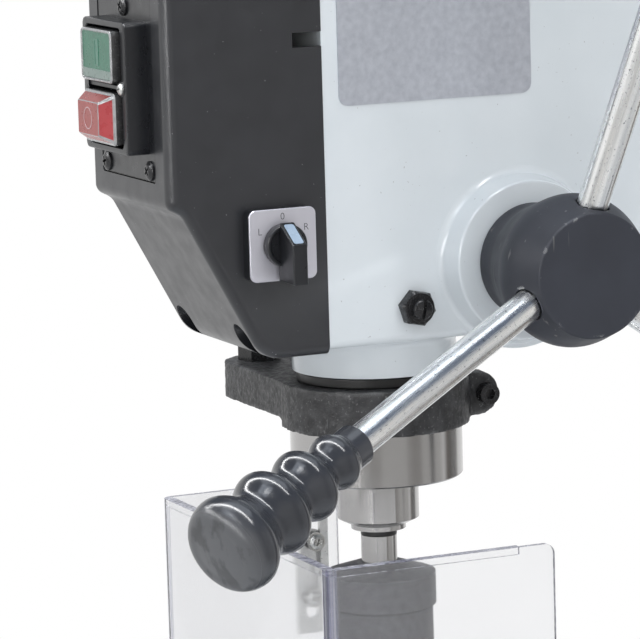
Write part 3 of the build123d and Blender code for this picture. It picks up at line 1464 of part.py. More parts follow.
# Guard bar: knuckle on the pin and a slotted flat bar hanging down
bar_outer_x = -guard_half - bar_gap - bar_thickness
knuckle_top = shelf_bottom - clear
with BuildPart() as guard_bar:
    with Locations((guard_pin_x, bar_y, knuckle_top)):
        Cylinder(knuckle_r, knuckle_height, align=down)
        Box(
            guard_pin_x - bar_outer_x,
            bar_width,
            knuckle_height,
            align=(Align.MAX, Align.CENTER, Align.MAX),
        )
    with Locations((bar_outer_x, bar_y, bar_bottom)):
        Box(bar_thickness, bar_width, knuckle_top - bar_bottom, align=(Align.MIN, Align.CENTER, Align.MIN))
    with BuildSketch(Plane.YZ.offset(bar_outer_x)):
        with Locations((bar_y, (bar_slot_top + bar_slot_bottom) / 2)):
            SlotOverall(bar_slot_top - bar_slot_bottom, bar_slot_width, rotation=90)
    extrude(amount=bar_thickness, mode=Mode.SUBTRACT)
    with Locations((guard_pin_x, bar_y, knuckle_top)):
        Cylinder(guard_pin_r + running, knuckle_height, align=down, mode=Mode.SUBTRACT)
guard_bar.part.label = "guard_bar"
export_step(guard_bar.part, "parts/guard_bar.step")

# Clear guard bent in a U, with a lip along the top of the front and right sides
guard_inner = guard_half - guard_sheet
guard_box = 2 * (guard_right_y - guard_front_y)
guard_inner_box = guard_box - 2 * guard_sheet
with BuildPart() as chuck_guard:
    with BuildSketch(Plane.XY.offset(guard_top)):
        with Locations((0, guard_front_y + guard_box / 2)):
            RectangleRounded(2 * guard_half, guard_box, guard_bend)
            RectangleRounded(2 * guard_inner, guard_inner_box, guard_bend - guard_sheet, mode=Mode.SUBTRACT)
    extrude(amount=-guard_height)
    with BuildSketch(Plane.XY.offset(guard_top)):
        with Locations((0, guard_front_y + guard_box / 2)):
            RectangleRounded(2 * guard_inner, guard_inner_box, guard_bend - guard_sheet)
            Rectangle(2 * (guard_inner - guard_lip), guard_inner_box - 2 * guard_lip, mode=Mode.SUBTRACT)
        with Locations((-guard_inner + guard_lip, guard_front_y)):
            Rectangle(4 * guard_lip, 2 * guard_box, align=(Align.MAX, Align.CENTER), mode=Mode.SUBTRACT)
        with Locations((0, guard_right_y - guard_lip_end)):
            Rectangle(2 * guard_half, guard_box, align=(Align.CENTER, Align.MIN), mode=Mode.SUBTRACT)
    extrude(amount=-guard_lip_height)
    with BuildSketch(Plane.XY.offset(guard_top)):
        with Locations((0, guard_right_y)):
            Rectangle(2 * guard_half, guard_box, align=(Align.MIN, Align.MIN))
        with Locations((0, guard_left_y)):
            Rectangle(2 * guard_half, guard_box, align=(Align.MAX, Align.MIN))
    extrude(amount=-guard_height, mode=Mode.SUBTRACT)
    rear_corners = chuck_guard.edges().filter_by(Axis.X).group_by(Axis.Y)[-1]
    fillet(rear_corners, guard_corner)
    with Locations(*facing_right(-guard_half, guard_screw_spots)):
        Cylinder(guard_screw_r + clear, guard_sheet, align=up, mode=Mode.SUBTRACT)
chuck_guard.part.label = "chuck_guard"
export_step(chuck_guard.part, "parts/chuck_guard.step")

# Two guard screws with washers inside and nuts outside the bar
guard_nut_x = bar_outer_x - bar_gap
guard_thread_length = -guard_inner - guard_nut_x + guard_nut_height + guard_thread_end
with BuildPart() as guard_screws:
    with Locations(*facing_right(-guard_inner, guard_screw_spots)):
        Cylinder(guard_washer_r, guard_washer, align=up)
        Cylinder(guard_screw_head_r, guard_screw_head, align=up)
        Cylinder(guard_screw_r, guard_thread_length, align=down)
    with BuildSketch(Plane.YZ.offset(guard_nut_x)):
        with Locations(*guard_screw_spots):
            RegularPolygon(hex_radius(guard_nut_af), 6)
    extrude(amount=-guard_nut_height)
    with BuildSketch(Plane.YZ.offset(-guard_inner + guard_screw_head)):
        with Locations(*guard_screw_spots):
            cross_outline()
    extrude(amount=-cross_depth, mode=Mode.SUBTRACT)
guard_screws.part.label = "guard_screws"
export_step(guard_screws.part, "parts/guard_screws.step")

# Belt housing tray with its half of the two lid hinges
housing_mid_y = (spindle_y + motor_y) / 2
housing_span = motor_y - spindle_y
rim_z = housing_floor_z + housing_height
leaf_reach = -hinge_x - housing_r + housing_wall
hinge_spots = (housing_mid_y - housing_span / 4, housing_mid_y + housing_span / 4)
with BuildPart() as belt_housing:
    with BuildSketch(Plane.XY.offset(housing_floor_z)):
        with Locations((0, housing_mid_y)):
            SlotCenterToCenter(housing_span, 2 * housing_r, rotation=90)
    extrude(amount=housing_height)
    with BuildSketch(Plane.XY.offset(housing_floor_z + housing_floor)):
        with Locations((0, housing_mid_y)):
            SlotCenterToCenter(housing_span, 2 * (housing_r - housing_wall), rotation=90)
    extrude(amount=housing_height, mode=Mode.SUBTRACT)
    with BuildSketch(Plane.XY.offset(housing_floor_z)):
        with Locations((0, spindle_y)):
            Circle(sleeve_r + wheel_gap)
        with Locations((0, motor_y)):
            Circle(motor_shaft_r + wheel_gap)
            with PolarLocations(motor_bolt_circle / 2, 4, start_angle=45):
                Circle(motor_bolt_r + clear)
        with Locations(*plate_bolt_spots):
            Circle(motor_bolt_r + clear)
    extrude(amount=housing_floor, mode=Mode.SUBTRACT)
    with Locations(*[Location((hinge_x, y, rim_z), along_front) for y in hinge_spots]):
        Cylinder(hinge_r, hinge_length, align=up)
        Cylinder(hinge_pin_r, hinge_length, align=down)
    with Locations(*[(hinge_x, y, rim_z - lid_gap) for y in hinge_spots]):
        Box(leaf_reach, hinge_length, hinge_leaf, align=(Align.MIN, Align.MAX, Align.MAX))
belt_housing.part.label = "belt_housing"
export_step(belt_housing.part, "parts/belt_housing.step")

# Hinged lid over the belt, with a handle on the right
lid_z = rim_z + lid_gap
with BuildPart() as belt_lid:
    with BuildSketch(Plane.XY.offset(lid_z)):
        with Locations((0, housing_mid_y)):
            SlotCenterToCenter(housing_span, 2 * housing_r, rotation=90)
    extrude(amount=lid_height)
    fillet(belt_lid.faces().sort_by(Axis.Z)[-1].edges(), lid_edge)
    with BuildSketch(Plane.XY.offset(lid_z)):
        with Locations((0, housing_mid_y)):
            SlotCenterToCenter(housing_span, 2 * (housing_r - housing_wall), rotation=90)
    extrude(amount=lid_height - housing_wall, mode=Mode.SUBTRACT)
    with Locations((housing_r - housing_wall, housing_mid_y, lid_z)):
        Box(
            lid_handle_reach,
            lid_handle_length,
            lid_handle_height,
            align=(Align.MIN, Align.CENTER, Align.MIN),
        )
    with Locations(*[Location((hinge_x, y + clear, rim_z), along_front) for y in hinge_spots]):
        Cylinder(hinge_r, hinge_length, align=down)
    with Locations(*[(hinge_x, y + clear, lid_z) for y in hinge_spots]):
        Box(leaf_reach, hinge_length, hinge_leaf, align=(Align.MIN, Align.MIN, Align.MIN))
    with Locations(*[Location((hinge_x, y, rim_z), along_front) for y in hinge_spots]):
        Cylinder(hinge_pin_r + running, hinge_length + clear, align=down, mode=Mode.SUBTRACT)
belt_lid.part.label = "belt_lid"
export_step(belt_lid.part, "parts/belt_lid.step")

# Bolts through the tray floor into the head and the motor flange
with BuildPart() as plate_bolts:
    with BuildSketch(Plane.XY.offset(housing_floor_z + housing_floor)):
        with Locations(*plate_bolt_spots):
            RegularPolygon(hex_radius(motor_bolt_af), 6)
        with Locations((0, motor_y)):
            with PolarLocations(motor_bolt_circle / 2, 4, start_angle=45):
                RegularPolygon(hex_radius(motor_bolt_af), 6)
    extrude(amount=motor_bolt_head)
    with BuildSketch(Plane.XY.offset(housing_floor_z + housing_floor)):
        with Locations(*plate_bolt_spots):
            Circle(motor_bolt_r)
        with Locations((0, motor_y)):
            with PolarLocations(motor_bolt_circle / 2, 4, start_angle=45):
                Circle(motor_bolt_r)
    extrude(amount=-housing_floor - motor_flange_height + bolt_tip_gap)
plate_bolts.part.label = "plate_bolts"
export_step(plate_bolts.part, "parts/plate_bolts.step")

# Stepped spindle pulley on the splined drive sleeve
with BuildPart() as drive_pulley:
    with Locations((0, spindle_y, sleeve_bottom)):
        Cylinder(sleeve_r, pulley_bottom - sleeve_bottom, align=up)
        Cylinder(quill_r, sleeve_land_height, align=up)
    with Locations((0, spindle_y, head_top)):
        Cylinder(quill_r, sleeve_land_height, align=down)
    for step, radius in enumerate(pulley_steps):
        step_z = pulley_bottom + step * pulley_step_height
        with Locations((0, spindle_y, step_z)):
            Cylinder(radius, pulley_step_height, align=up)
        with BuildSketch(section_plane(spindle_y, step_z + pulley_step_height / 2)):
            groove_outline(radius)
        revolve(axis=Axis((0, spindle_y, 0), (0, 0, 1)), mode=Mode.SUBTRACT)
    with BuildSketch(Plane.XY.offset(sleeve_bottom)):
        with Locations((0, spindle_y)):
            Circle(spline_r + running)
            with PolarLocations(0, spline_count):
                Rectangle(
                    spline_outer_r + running,
                    spline_width + 2 * running,
                    align=(Align.MIN, Align.CENTER),
                )
    extrude(amount=spindle_top - sleeve_bottom, mode=Mode.SUBTRACT)
drive_pulley.part.label = "drive_pulley"
export_step(drive_pulley.part, "parts/drive_pulley.step")

# Stepped motor pulley, the other way up
pulley_top = pulley_bottom + len(pulley_steps) * pulley_step_height
with BuildPart() as motor_pulley:
    for step, radius in enumerate(reversed(pulley_steps)):
        step_z = pulley_bottom + step * pulley_step_height
        with Locations((0, motor_y, step_z)):
            Cylinder(radius, pulley_step_height, align=up)
        with BuildSketch(section_plane(motor_y, step_z + pulley_step_height / 2)):
            groove_outline(radius)
        revolve(axis=Axis((0, motor_y, 0), (0, 0, 1)), mode=Mode.SUBTRACT)
    with Locations((0, motor_y, pulley_bottom)):
        Cylinder(motor_shaft_r + seat, pulley_top - pulley_bottom, align=up, mode=Mode.SUBTRACT)
motor_pulley.part.label = "motor_pulley"
export_step(motor_pulley.part, "parts/motor_pulley.step")

# Drive belt lying in one pair of grooves
belt_z = pulley_bottom + (belt_step + 0.5) * pulley_step_height - belt_width / 2
spindle_belt_r = pulley_steps[belt_step] - belt_gap
motor_belt_r = pulley_steps[-1 - belt_step] - belt_gap
with BuildPart() as drive_belt:
    with BuildSketch(Plane.XY.offset(belt_z)):
        with Locations((0, spindle_y)):
            Circle(spindle_belt_r)
        with Locations((0, motor_y)):
            Circle(motor_belt_r)
        make_hull()
    extrude(amount=belt_width)
    with BuildSketch(Plane.XY.offset(belt_z)):
        with Locations((0, spindle_y)):
            Circle(spindle_belt_r - belt_depth)
        with Locations((0, motor_y)):
            Circle(motor_belt_r - belt_depth)
        make_hull()
    extrude(amount=belt_width, mode=Mode.SUBTRACT)
drive_belt.part.label = "drive_belt"
export_step(drive_belt.part, "parts/drive_belt.step")

# Motor shaft
with BuildPart() as motor_shaft:
    with Locations((0, motor_y, head_top - motor_shaft_depth + clear)):
        Cylinder(motor_shaft_r, pulley_top - head_top + motor_shaft_depth - clear, align=up)
motor_shaft.part.label = "motor_shaft"
export_step(motor_shaft.part, "parts/motor_shaft.step")

# Motor housing: flange, ribbed barrel, fan cover and terminal box
with BuildPart() as motor_housing:
    with Locations((0, motor_y, head_top)):
        Cylinder(motor_flange_r, motor_flange_height, align=down)
        Cylinder(motor_r - fin_depth, motor_height, align=down)
    with BuildSketch(Plane.XY.offset(head_top - motor_flange_height)):
        with Locations((0, motor_y)):
            with PolarLocations(motor_r - fin_depth - 1, fin_count):
                Rectangle(fin_depth + 1, fin_width, align=(Align.MIN, Align.CENTER))
    extrude(amount=-fin_length)
    with Locations((0, motor_y, head_top - motor_height)):
        Cylinder(motor_r, fan_cover_height, align=up)
    fillet(motor_housing.edges().filter_by(GeomType.CIRCLE).group_by(Axis.Z)[0], fan_cover_edge)
    with Locations((0, motor_y + motor_r - 2 * fin_depth, head_top - terminal_drop)):
        Box(terminal_box, terminal_depth, terminal_box, align=(Align.CENTER, Align.MIN, Align.CENTER))
    with Locations((0, motor_y, head_top)):
        Cylinder(motor_shaft_r + running, motor_shaft_depth, align=down, mode=Mode.SUBTRACT)
    with BuildSketch(Plane.XY.offset(head_top)):
        with Locations((0, motor_y)):
            with PolarLocations(motor_bolt_circle / 2, 4, start_angle=45):
                Circle(motor_bolt_r + seat)
    extrude(amount=-motor_flange_height, mode=Mode.SUBTRACT)
motor_housing.part.label = "motor_housing"
export_step(motor_housing.part, "parts/motor_housing.step")
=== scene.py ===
import math

import bmesh
import bpy
from mathutils import Matrix, Vector, noise


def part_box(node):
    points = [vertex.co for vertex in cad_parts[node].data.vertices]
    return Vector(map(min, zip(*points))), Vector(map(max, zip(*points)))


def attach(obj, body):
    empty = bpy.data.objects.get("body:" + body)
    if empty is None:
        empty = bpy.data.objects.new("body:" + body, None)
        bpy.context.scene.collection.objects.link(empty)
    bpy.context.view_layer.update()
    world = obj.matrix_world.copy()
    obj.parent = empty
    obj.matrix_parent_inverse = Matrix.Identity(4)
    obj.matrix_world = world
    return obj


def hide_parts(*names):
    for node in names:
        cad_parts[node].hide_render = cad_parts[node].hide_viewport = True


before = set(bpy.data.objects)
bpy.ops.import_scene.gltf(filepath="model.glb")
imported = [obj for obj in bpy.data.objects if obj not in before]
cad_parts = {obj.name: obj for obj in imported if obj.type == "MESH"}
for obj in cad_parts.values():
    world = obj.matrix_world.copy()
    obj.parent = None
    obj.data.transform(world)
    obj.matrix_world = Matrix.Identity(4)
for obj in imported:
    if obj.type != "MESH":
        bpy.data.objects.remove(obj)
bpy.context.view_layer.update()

mm = 0.001

# Camera: the side it stands on, its height and tilt in degrees, and its distance from the quill
camera_azimuth = 66.0
camera_elevation = 8.85
camera_roll = -1.7
camera_distance = 2.0
camera_lens = 225.0
camera_sensor = 36.0
camera_left = 28.6 * mm
camera_up = 76.65 * mm
camera_near = 0.05
camera_far = 60.0

# Stage: floor, ceiling, room light, and the grey cards in reflections (azimuth, half width, darkness)
floor_radius = 20.0
floor_round = 64
floor_drop = 0.5 * mm
floor_colour = (0.85, 0.85, 0.85, 1)
floor_roughness = 0.7
floor_fade = (0.5, 1.2)
white = (1, 1, 1)
cards = ((85.0, 77.0, 0.42), (62.0, 10.0, 0.58), (116.0, 12.0, 0.68), (182.0, 12.0, 0.95))
card_blur = 4.0
card_colour = (0.15, 0.13, 0.115)
ceiling_colour = (0.14, 0.17, 0.23)
ceiling_fade = (0.25, 0.6)
room_colour = (0.93, 0.96, 1.0, 1)
room_strength = 0.58
lamp_aim_rise = 100.0 * mm
key_blue = (0.82, 0.89, 1.0)
top_blue = (0.86, 0.92, 1.0)
strip_distance = 2.0

# Places read from the frame
quill_low, quill_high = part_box("quill")
spindle_y = (quill_low.y + quill_high.y) / 2
quill_bottom = quill_low.z
head_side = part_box("rating_plate")[0].x
hub_low, hub_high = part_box("feed_hub")
feed_y = (hub_low.y + hub_high.y) / 2
feed_z = (hub_low.z + hub_high.z) / 2
panel_low, panel_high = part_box("switch_panel")
body_low, body_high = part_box("switch_body")
start_low, start_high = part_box("start_button")
stop_low, stop_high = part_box("stop_button")
button_gap = (start_low.z + stop_high.z) / 2
selector_low, selector_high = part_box("selector_switch")
selector_y = (selector_low.y + selector_high.y) / 2
selector_z = (selector_low.z + selector_high.z) / 2
selector_face = selector_high.x
knob_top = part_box("selector_knob")[1].x

# Steps round a turned piece, a corner and a hexagon, and limits for welding and sharp edges
wide_round = 128
round_steps = 96
knob_round = 72
small_round = 48
thread_round = 32
corner_steps = 6
hex_steps = 72
weld = 1e-7
sharp_angle = 32.0

# How far a face looks along an axis, to tell faces apart
flat = 0.99
nearly = 0.9
mostly = 0.7
partly = 0.12
hardly = 0.1
aside = 0.05

# Feed boss and the nose of the head
boss_sink = 1.0 * mm
boss_skin = 0.03 * mm
boss_fillet = 3.0 * mm
boss_wall_r = 45.2 * mm
boss_base_r = 41.9 * mm
boss_face_r = 38.9 * mm
boss_height = 13.05 * mm
boss_edge = 1.6 * mm
nose_r = 41.05 * mm
nose_edge = 1.5 * mm
nose_flare_r = 46.0 * mm
nose_rim_r = 46.2 * mm
nose_rim = 1.0 * mm
nose_bore_r = 37.0 * mm
nose_lift = 54.57 * mm
nose_height = 18.4 * mm

# Hub, levers and grips, with each grip's beads and grooves as (distance, radius) in millimetres
hub_length = hub_high.x - hub_low.x
hub_neck_r = 28.3 * mm
hub_rim_r = 38.3 * mm
hub_face_r = 30.0 * mm
hub_flare = 10.9 * mm
hub_flare_bend = 30.0 * mm
hub_rim = 44.0 * mm
hub_rim_bend = 24.0 * mm
hub_edge = 1.3 * mm
lever_count = 3
lever_start = 82.0
lever_lean = 23.0
lever_base = 42.1 * mm
lever_socket = 33.5 * mm
lever_hole_r = 8.4 * mm
lever_r = 7.6 * mm
lever_foot = 34.2 * mm
lever_foot_edge = 1.4 * mm
lever_end = 172.3 * mm
grip_start = 171.3 * mm
grip_collar_r = 10.2 * mm
grip_collar_edge = 0.4 * mm
grip_collar_edge_length = 0.6 * mm
grip_wave = ((179.9, 10.2), (187.4, 13.3), (197.2, 10.0), (208.9, 17.2), (220.3, 12.8), (232.7, 20.2),
             (244.9, 15.7), (259.3, 22.8))
grip_wave_steps = 14
grip_groove_power = 0.88
grip_end_length = 12.6 * mm
grip_end_steps = 20
grip_end_width_power = 0.8
grip_end_length_power = 1.1
grip_face_r = 12.5 * mm
grip_dome = 1.6 * mm
grip_dome_steps = 6
grip_gloss_end = 262.3 * mm
grip_dull_start = 271.3 * mm

# Depth clamp's cast skin, with its lumps as (lumps per metre, height), and the rings round quill and arbor
clamp_grid = 0.9 * mm
clamp_softness = 0.5
clamp_smoothing = 3
clamp_lumps = ((160.0, 0.3 * mm), (420.0, 0.26 * mm))
clear = 0.05 * mm
dark_ring_r = 39.0 * mm
dark_ring_bore_r = 35.1 * mm
dark_ring_height = 5.0 * mm
dark_ring_edge = 0.8 * mm
arbor_groove = 3.45 * mm
arbor_groove_r = 8.45 * mm
arbor_ring_r = 9.1 * mm
ring_edge = 0.5 * mm

# Guard and its screws
guard_back = 30.0 * mm
guard_sheet = 3.0 * mm
guard_washer = 1.0 * mm
guard_washer_r = 5.0 * mm
guard_screw_r = 4.0 * mm
guard_screw_turns = (30.0, 70.0)
guard_thread_r = 2.5 * mm
guard_thread_edge = 0.5 * mm
guard_nut = 10.0 * mm
guard_nut_top_r = 4.8 * mm
guard_nut_gap = 1.0 * mm
guard_nut_edge = 1.0 * mm
strip_width = 12.0 * mm
strip_thickness = 1.5 * mm

# Screw heads with a cross, in shares of their radius
head_skirt = 0.2
head_rim = 0.125
head_bend = (0.6, 0.46)
head_round = 0.5
head_height = 0.5
cross_foot = (0.2, 0.9)
cross_mouth = (0.27, 1.1)
cross_corner = 0.05
cross_floor = 0.12

# Switch: panel, pedestal and well
panel_thickness = 2.0 * mm
panel_face = panel_high.y - panel_thickness
panel_seam = 0.25 * mm
panel_corner = 2.0 * mm
panel_top_corner = 1.3 * mm
panel_bevel = 0.75 * mm
panel_bevel_depth = 0.3 * mm
panel_screw_r = 4.8 * mm
panel_screw_turns = (15.0, 40.0, 62.0)
pedestal_width = 55.0 * mm
pedestal_height = 63.5 * mm
pedestal_corner = 3.0 * mm
pedestal_edge_corner = 2.6 * mm
pedestal_top_corner = 2.0 * mm
pedestal_edge = 1.2 * mm
pedestal_step = pedestal_edge / 3
pedestal_sink = 0.1 * mm
well_width = 44.6 * mm
well_height = 57.0 * mm
well_corner = 2.0 * mm
well_edge = 0.4 * mm
well_edge_depth = 0.6 * mm
well_depth = 10.0 * mm
bridge_height = 2.4 * mm
bridge_corner = 0.3 * mm
bridge_sink = 1.2 * mm
bridge_edge = 0.4 * mm
post_r = 3.9 * mm
post_height = 0.4 * mm
post_edge = 0.3 * mm
side_screw_r = 2.9 * mm
side_screw_x = 22.6 * mm
side_screw_lift = 0.5 * mm
side_screw_turn = 20.0

# Buttons: clear caps, whose bevels are (narrower, sharper corner, below the top), windows and marks
button_corner = 3.0 * mm
hood_depth = 6.5 * mm
hood_rim = 0.7 * mm
hood_bevels = ((0.5 * mm, 0, 0.2 * mm), (1.1 * mm, 0.4 * mm, 0))
window_border = 3.0 * mm
window_edge = 0.45 * mm
window_mouth_corner = 2.0 * mm
window_corner = 1.6 * mm
window_sink = 0.6 * mm
window_band = 4.4 * mm
band_gap = 0.1 * mm
band_edge = 0.2 * mm
band_corner = 1.2 * mm
band_height = 0.3 * mm
bar_width = 5.0 * mm
bar_height = 13.0 * mm
bar_corner = 0.6 * mm
bar_inner_corner = 0.4 * mm
bar_sink = 0.1 * mm
bar_lift = window_band / 3
mark_line = 0.6 * mm
mark_height = 0.2 * mm
mark_groove = mark_height / 4
stop_rise = 6.0 * mm
stop_foot_border = 2.6 * mm
stop_foot_edge = 0.4 * mm
stop_mouth_corner = 1.8 * mm
stop_foot_corner = 1.6 * mm
stop_mouth_height = 0.1 * mm
stop_foot_height = 0.5 * mm
stop_tip_width = 26.0 * mm
stop_tip_height = 15.5 * mm
stop_tip_corner = 0.8 * mm
stop_tip_edge = 0.45 * mm
stop_tip_bevel = 0.3 * mm
stop_margin = 0.1 * mm
stop_ring_r = 5.4 * mm

# Selector: letters as (letter, towards the back, up), and the blade's outline as (out, up) in millimetres
selector_size = 34.5 * mm
selector_corner = 3.5 * mm
selector_edge = 0.35 * mm
selector_top_corner = 3.2 * mm
selector_block_size = 34.1 * mm
selector_block_depth = 9.0 * mm
selector_plate = 1.2 * mm
selector_letters = (("0", 0, 13.5 * mm), ("L", -11.9 * mm, 6.8 * mm), ("R", 12.1 * mm, 7.6 * mm))
letter_height = 3.4 * mm
letter_share = 0.72
letter_thickness = 0.05 * mm
letter_thinning = 0.05 * mm
knob_r = 10.4 * mm
knob_base = 5.0 * mm
knob_edge = 0.7 * mm
knob_ring = 1.6 * mm
knob_ring_edge = 0.4 * mm
knob_dish = 2.4 * mm
knob_dish_depth = 1.2 * mm
blade_width = 7.5 * mm
blade_edge = 0.7 * mm
blade_reach = 19.6
blade_outline = ((4.0, 11.0), (5.2, 11.0), (blade_reach, 2.0), (blade_reach, -17.0), (1.6, -17.0),
                 (1.6, -9.0), (4.0, -9.0))
pointer_border = 1.2 * mm
pointer_corner = 1.2 * mm
pointer_sink = 0.3 * mm
pointer_height = 0.08 * mm

# Guide screw and its lock nut, with turns in degrees
guide_across = 16.0 * mm
guide_nut_turn = 18.0
guide_nut_edge = 1.3 * mm
guide_nut_top_r = 7.76 * mm
guide_ring_r = 6.4 * mm
guide_ring_height = 0.5 * mm
guide_screw_r = 5.0 * mm
guide_screw_bend = 0.8 * mm
guide_screw_round = 1.2 * mm
guide_screw_dome = 0.6 * mm
slot_turn = 80.0
slot_length = 14.0 * mm
slot_width = 1.9 * mm
slot_corner = 0.2 * mm
slot_depth = 2.0 * mm
slot_over = 5.0 * mm


# Places and directions
def direction(azimuth, elevation):
    """The way out to a side, given in degrees."""
    side = math.radians(azimuth)
    lift = math.radians(elevation)
    return Vector((math.sin(side) * math.cos(lift), -math.cos(side) * math.cos(lift), math.sin(lift)))


def along(point, way):
    """A place whose Z axis runs along a direction."""
    return Matrix.Translation(point) @ Vector(way).to_track_quat("Z", "Y").to_matrix().to_4x4()


def facing_front(x, y, z):
    """A place on a front face: X to the right, Y up, Z out towards the operator."""
    return Matrix.Translation((x, y, z)) @ Matrix.Rotation(math.radians(90), 4, "X")


def facing_right(x, y, z):
    """A place on a right-hand face: X to the back, Y up, Z out to the right."""
    return Matrix.Translation((x, y, z)) @ Matrix(((0, 0, 1, 0), (1, 0, 0, 0), (0, 1, 0, 0), (0, 0, 0, 1)))


def spun(degrees):
    """A turn about a place's own Z axis."""
    return Matrix.Rotation(math.radians(degrees), 4, "Z")


def raised(height):
    """A step along a place's own Z axis."""
    return Matrix.Translation((0, 0, height))


# Mesh tools
def rounded(corners):
    """The line through corners (u, v, radius), each turned by its radius; without one it stays sharp."""
    line = []
    for index, (u, v, *radius) in enumerate(corners):
        corner = Vector((u, v))
        if not radius:
            line.append(corner)
            continue
        to_last = (Vector(corners[index - 1][:2]) - corner).normalized()
        to_next = (Vector(corners[(index + 1) % len(corners)][:2]) - corner).normalized()
        half = to_last.angle(to_next) / 2
        middle = corner + (to_last + to_next).normalized() * radius[0] / math.sin(half)
        start = corner + to_last * radius[0] / math.tan(half) - middle
        sweep = math.pi - 2 * half
        if to_last.cross(to_next) > 0:
            sweep = -sweep
        for step in range(corner_steps + 1):
            line.append(middle + Matrix.Rotation(sweep * step / corner_steps, 2) @ start)
    return line


def rounded_rectangle(width, height, radius):
    sides = ((1, 1), (-1, 1), (-1, -1), (1, -1))
    return rounded([(u * width / 2, v * height / 2, radius) for u, v in sides])


def piece(name, bm, place):
    """A new object from a mesh, welded and with its faces turned outwards."""
    bmesh.ops.remove_doubles(bm, verts=bm.verts, dist=weld)
    bmesh.ops.recalc_face_normals(bm, faces=bm.faces)
    mesh = bpy.data.meshes.new(name)
    bm.to_mesh(mesh)
    bm.free()
    made = bpy.data.objects.new(name, mesh)
    made.matrix_world = place
    bpy.context.scene.collection.objects.link(made)
    return made


def turned(name, path, place, steps=round_steps):
    """A solid turned round its own Z axis from a line of (radius, height) points."""
    bm = bmesh.new()
    rows = []
    for radius, height in path:
        if radius < weld:
            rows.append([bm.verts.new((0, 0, height))] * steps)
            continue
        row = []
        for step in range(steps):
            turn = 2 * math.pi * step / steps
            row.append(bm.verts.new((radius * math.cos(turn), radius * math.sin(turn), height)))
        rows.append(row)
    for lower, upper in zip(rows, rows[1:]):
        for index in range(steps):
            following = (index + 1) % steps
            corners = (lower[index], lower[following], upper[following], upper[index])
            bm.faces.new(list(dict.fromkeys(corners)))
    return piece(name, bm, place)


def skin(loops):
    """A closed mesh over loops of points that all have the same count."""
    bm = bmesh.new()
    rows = [[bm.verts.new(point) for point in loop] for loop in loops]
    for lower, upper in zip(rows, rows[1:]):
        for index in range(len(lower)):
            following = (index + 1) % len(lower)
            bm.faces.new((lower[index], lower[following], upper[following], upper[index]))
    bm.faces.new(rows[0])
    bm.faces.new(rows[-1])
    return bm


def tiers(name, levels, place):
    """A block of rounded rectangles stacked along Z, each (width, height, corner radius, level)."""
    loops = []
    for width, height, radius, level in levels:
        loops.append([(u, v, level) for u, v in rounded_rectangle(width, height, radius)])
    return piece(name, skin(loops), place)


def slab(name, outline, thickness, place, edge):
    """An outline made thick along Z, with its rims rounded."""
    bm = skin([[(u, v, level) for u, v in outline] for level in (-thickness / 2, thickness / 2)])
    rims = [line for line in bm.edges if abs(line.verts[0].co.z - line.verts[1].co.z) < weld]
    bmesh.ops.bevel(bm, geom=rims, offset=edge, segments=3, profile=0.5, affect="EDGES", clamp_overlap=True)
    return piece(name, bm, place)


def flat_ring(name, outer, inner, height, place):
    """A thin ring lying on the place's XY plane."""
    path = ((inner, 0), (outer, 0), (outer, height), (inner, height), (inner, 0))
    return turned(name, path, place)


def hex_corner(across):
    """How far a hexagon's corners stand from its middle."""
    return across / 2 / math.cos(math.pi / 6)


def hex_nut(name, across, levels, place):
    """A six-sided block stacked along Z, each level (radius that cuts the corners off, height)."""
    loops = []
    for limit, height in levels:
        loop = []
        for step in range(hex_steps):
            turn = 2 * math.pi * step / hex_steps
            off_flat = (turn + math.pi / 6) % (math.pi / 3) - math.pi / 6
            reach = min(across / 2 / math.cos(off_flat), limit)
            loop.append((reach * math.cos(turn), reach * math.sin(turn), height))
        loops.append(loop)
    return piece(name, skin(loops), place)


def settle(made):
    """Turns a piece's modifiers into its mesh."""
    bpy.context.view_layer.update()
    graph = bpy.context.evaluated_depsgraph_get()
    mesh = bpy.data.meshes.new_from_object(made.evaluated_get(graph))
    made.modifiers.clear()
    made.data = mesh


def cut(made, *tools):
    """Cuts the tools out of a piece and removes them."""
    for tool in tools:
        step = made.modifiers.new("cut", "BOOLEAN")
        step.operation = "DIFFERENCE"
        step.solver = "EXACT"
        step.object = tool
    settle(made)
    for tool in tools:
        bpy.data.objects.remove(tool)


def crossed_screw(name, radius, place, turn):
    """A domed screw head with a cross cut in it."""
    bend_r, bend_height = head_bend
    path = rounded((
        (0, -radius * head_skirt), (radius, -radius * head_skirt),
        (radius, radius * head_skirt, radius * head_rim),
        (radius * bend_r, radius * bend_height, radius * head_round), (0, radius * head_height),
    ))
    made = turned(name, path, place, small_round)
    arms = []
    for quarter in (0, 90):
        levels = []
        for (width, length), level in ((cross_foot, cross_floor), (cross_mouth, 1)):
            levels.append((radius * width, radius * length, radius * cross_corner, radius * level))
        arms.append(tiers("arm", levels, place @ spun(turn + quarter)))
    cut(made, *arms)
    return made


def copy_of(node, name):
    """A new piece with the shape of a node of the frame."""
    made = bpy.data.objects.new(name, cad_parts[node].data.copy())
    bpy.context.scene.collection.objects.link(made)
    made.data.materials.clear()
    return made


def dress(made, finish, body, slot, *nodes):
    """Gives a piece its material, shading and body, and hides the nodes of the frame that it stands for."""
    made.data.materials.clear()
    made.data.materials.append(finishes[finish])
    made.data.shade_smooth()
    made.data.set_sharp_from_angle(angle=math.radians(sharp_angle))
    even = made.modifiers.new("even", "WEIGHTED_NORMAL")
    even.keep_sharp = True
    settle(made)
    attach(made, body)
    if nodes:
        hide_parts(*nodes)
    return made


def paint(made, finish, test):
    """Gives another material to the faces that pass a test."""
    made.data.materials.append(finishes[finish])
    last = len(made.data.materials) - 1
    for face in made.data.polygons:
        if test(face):
            face.material_index = last


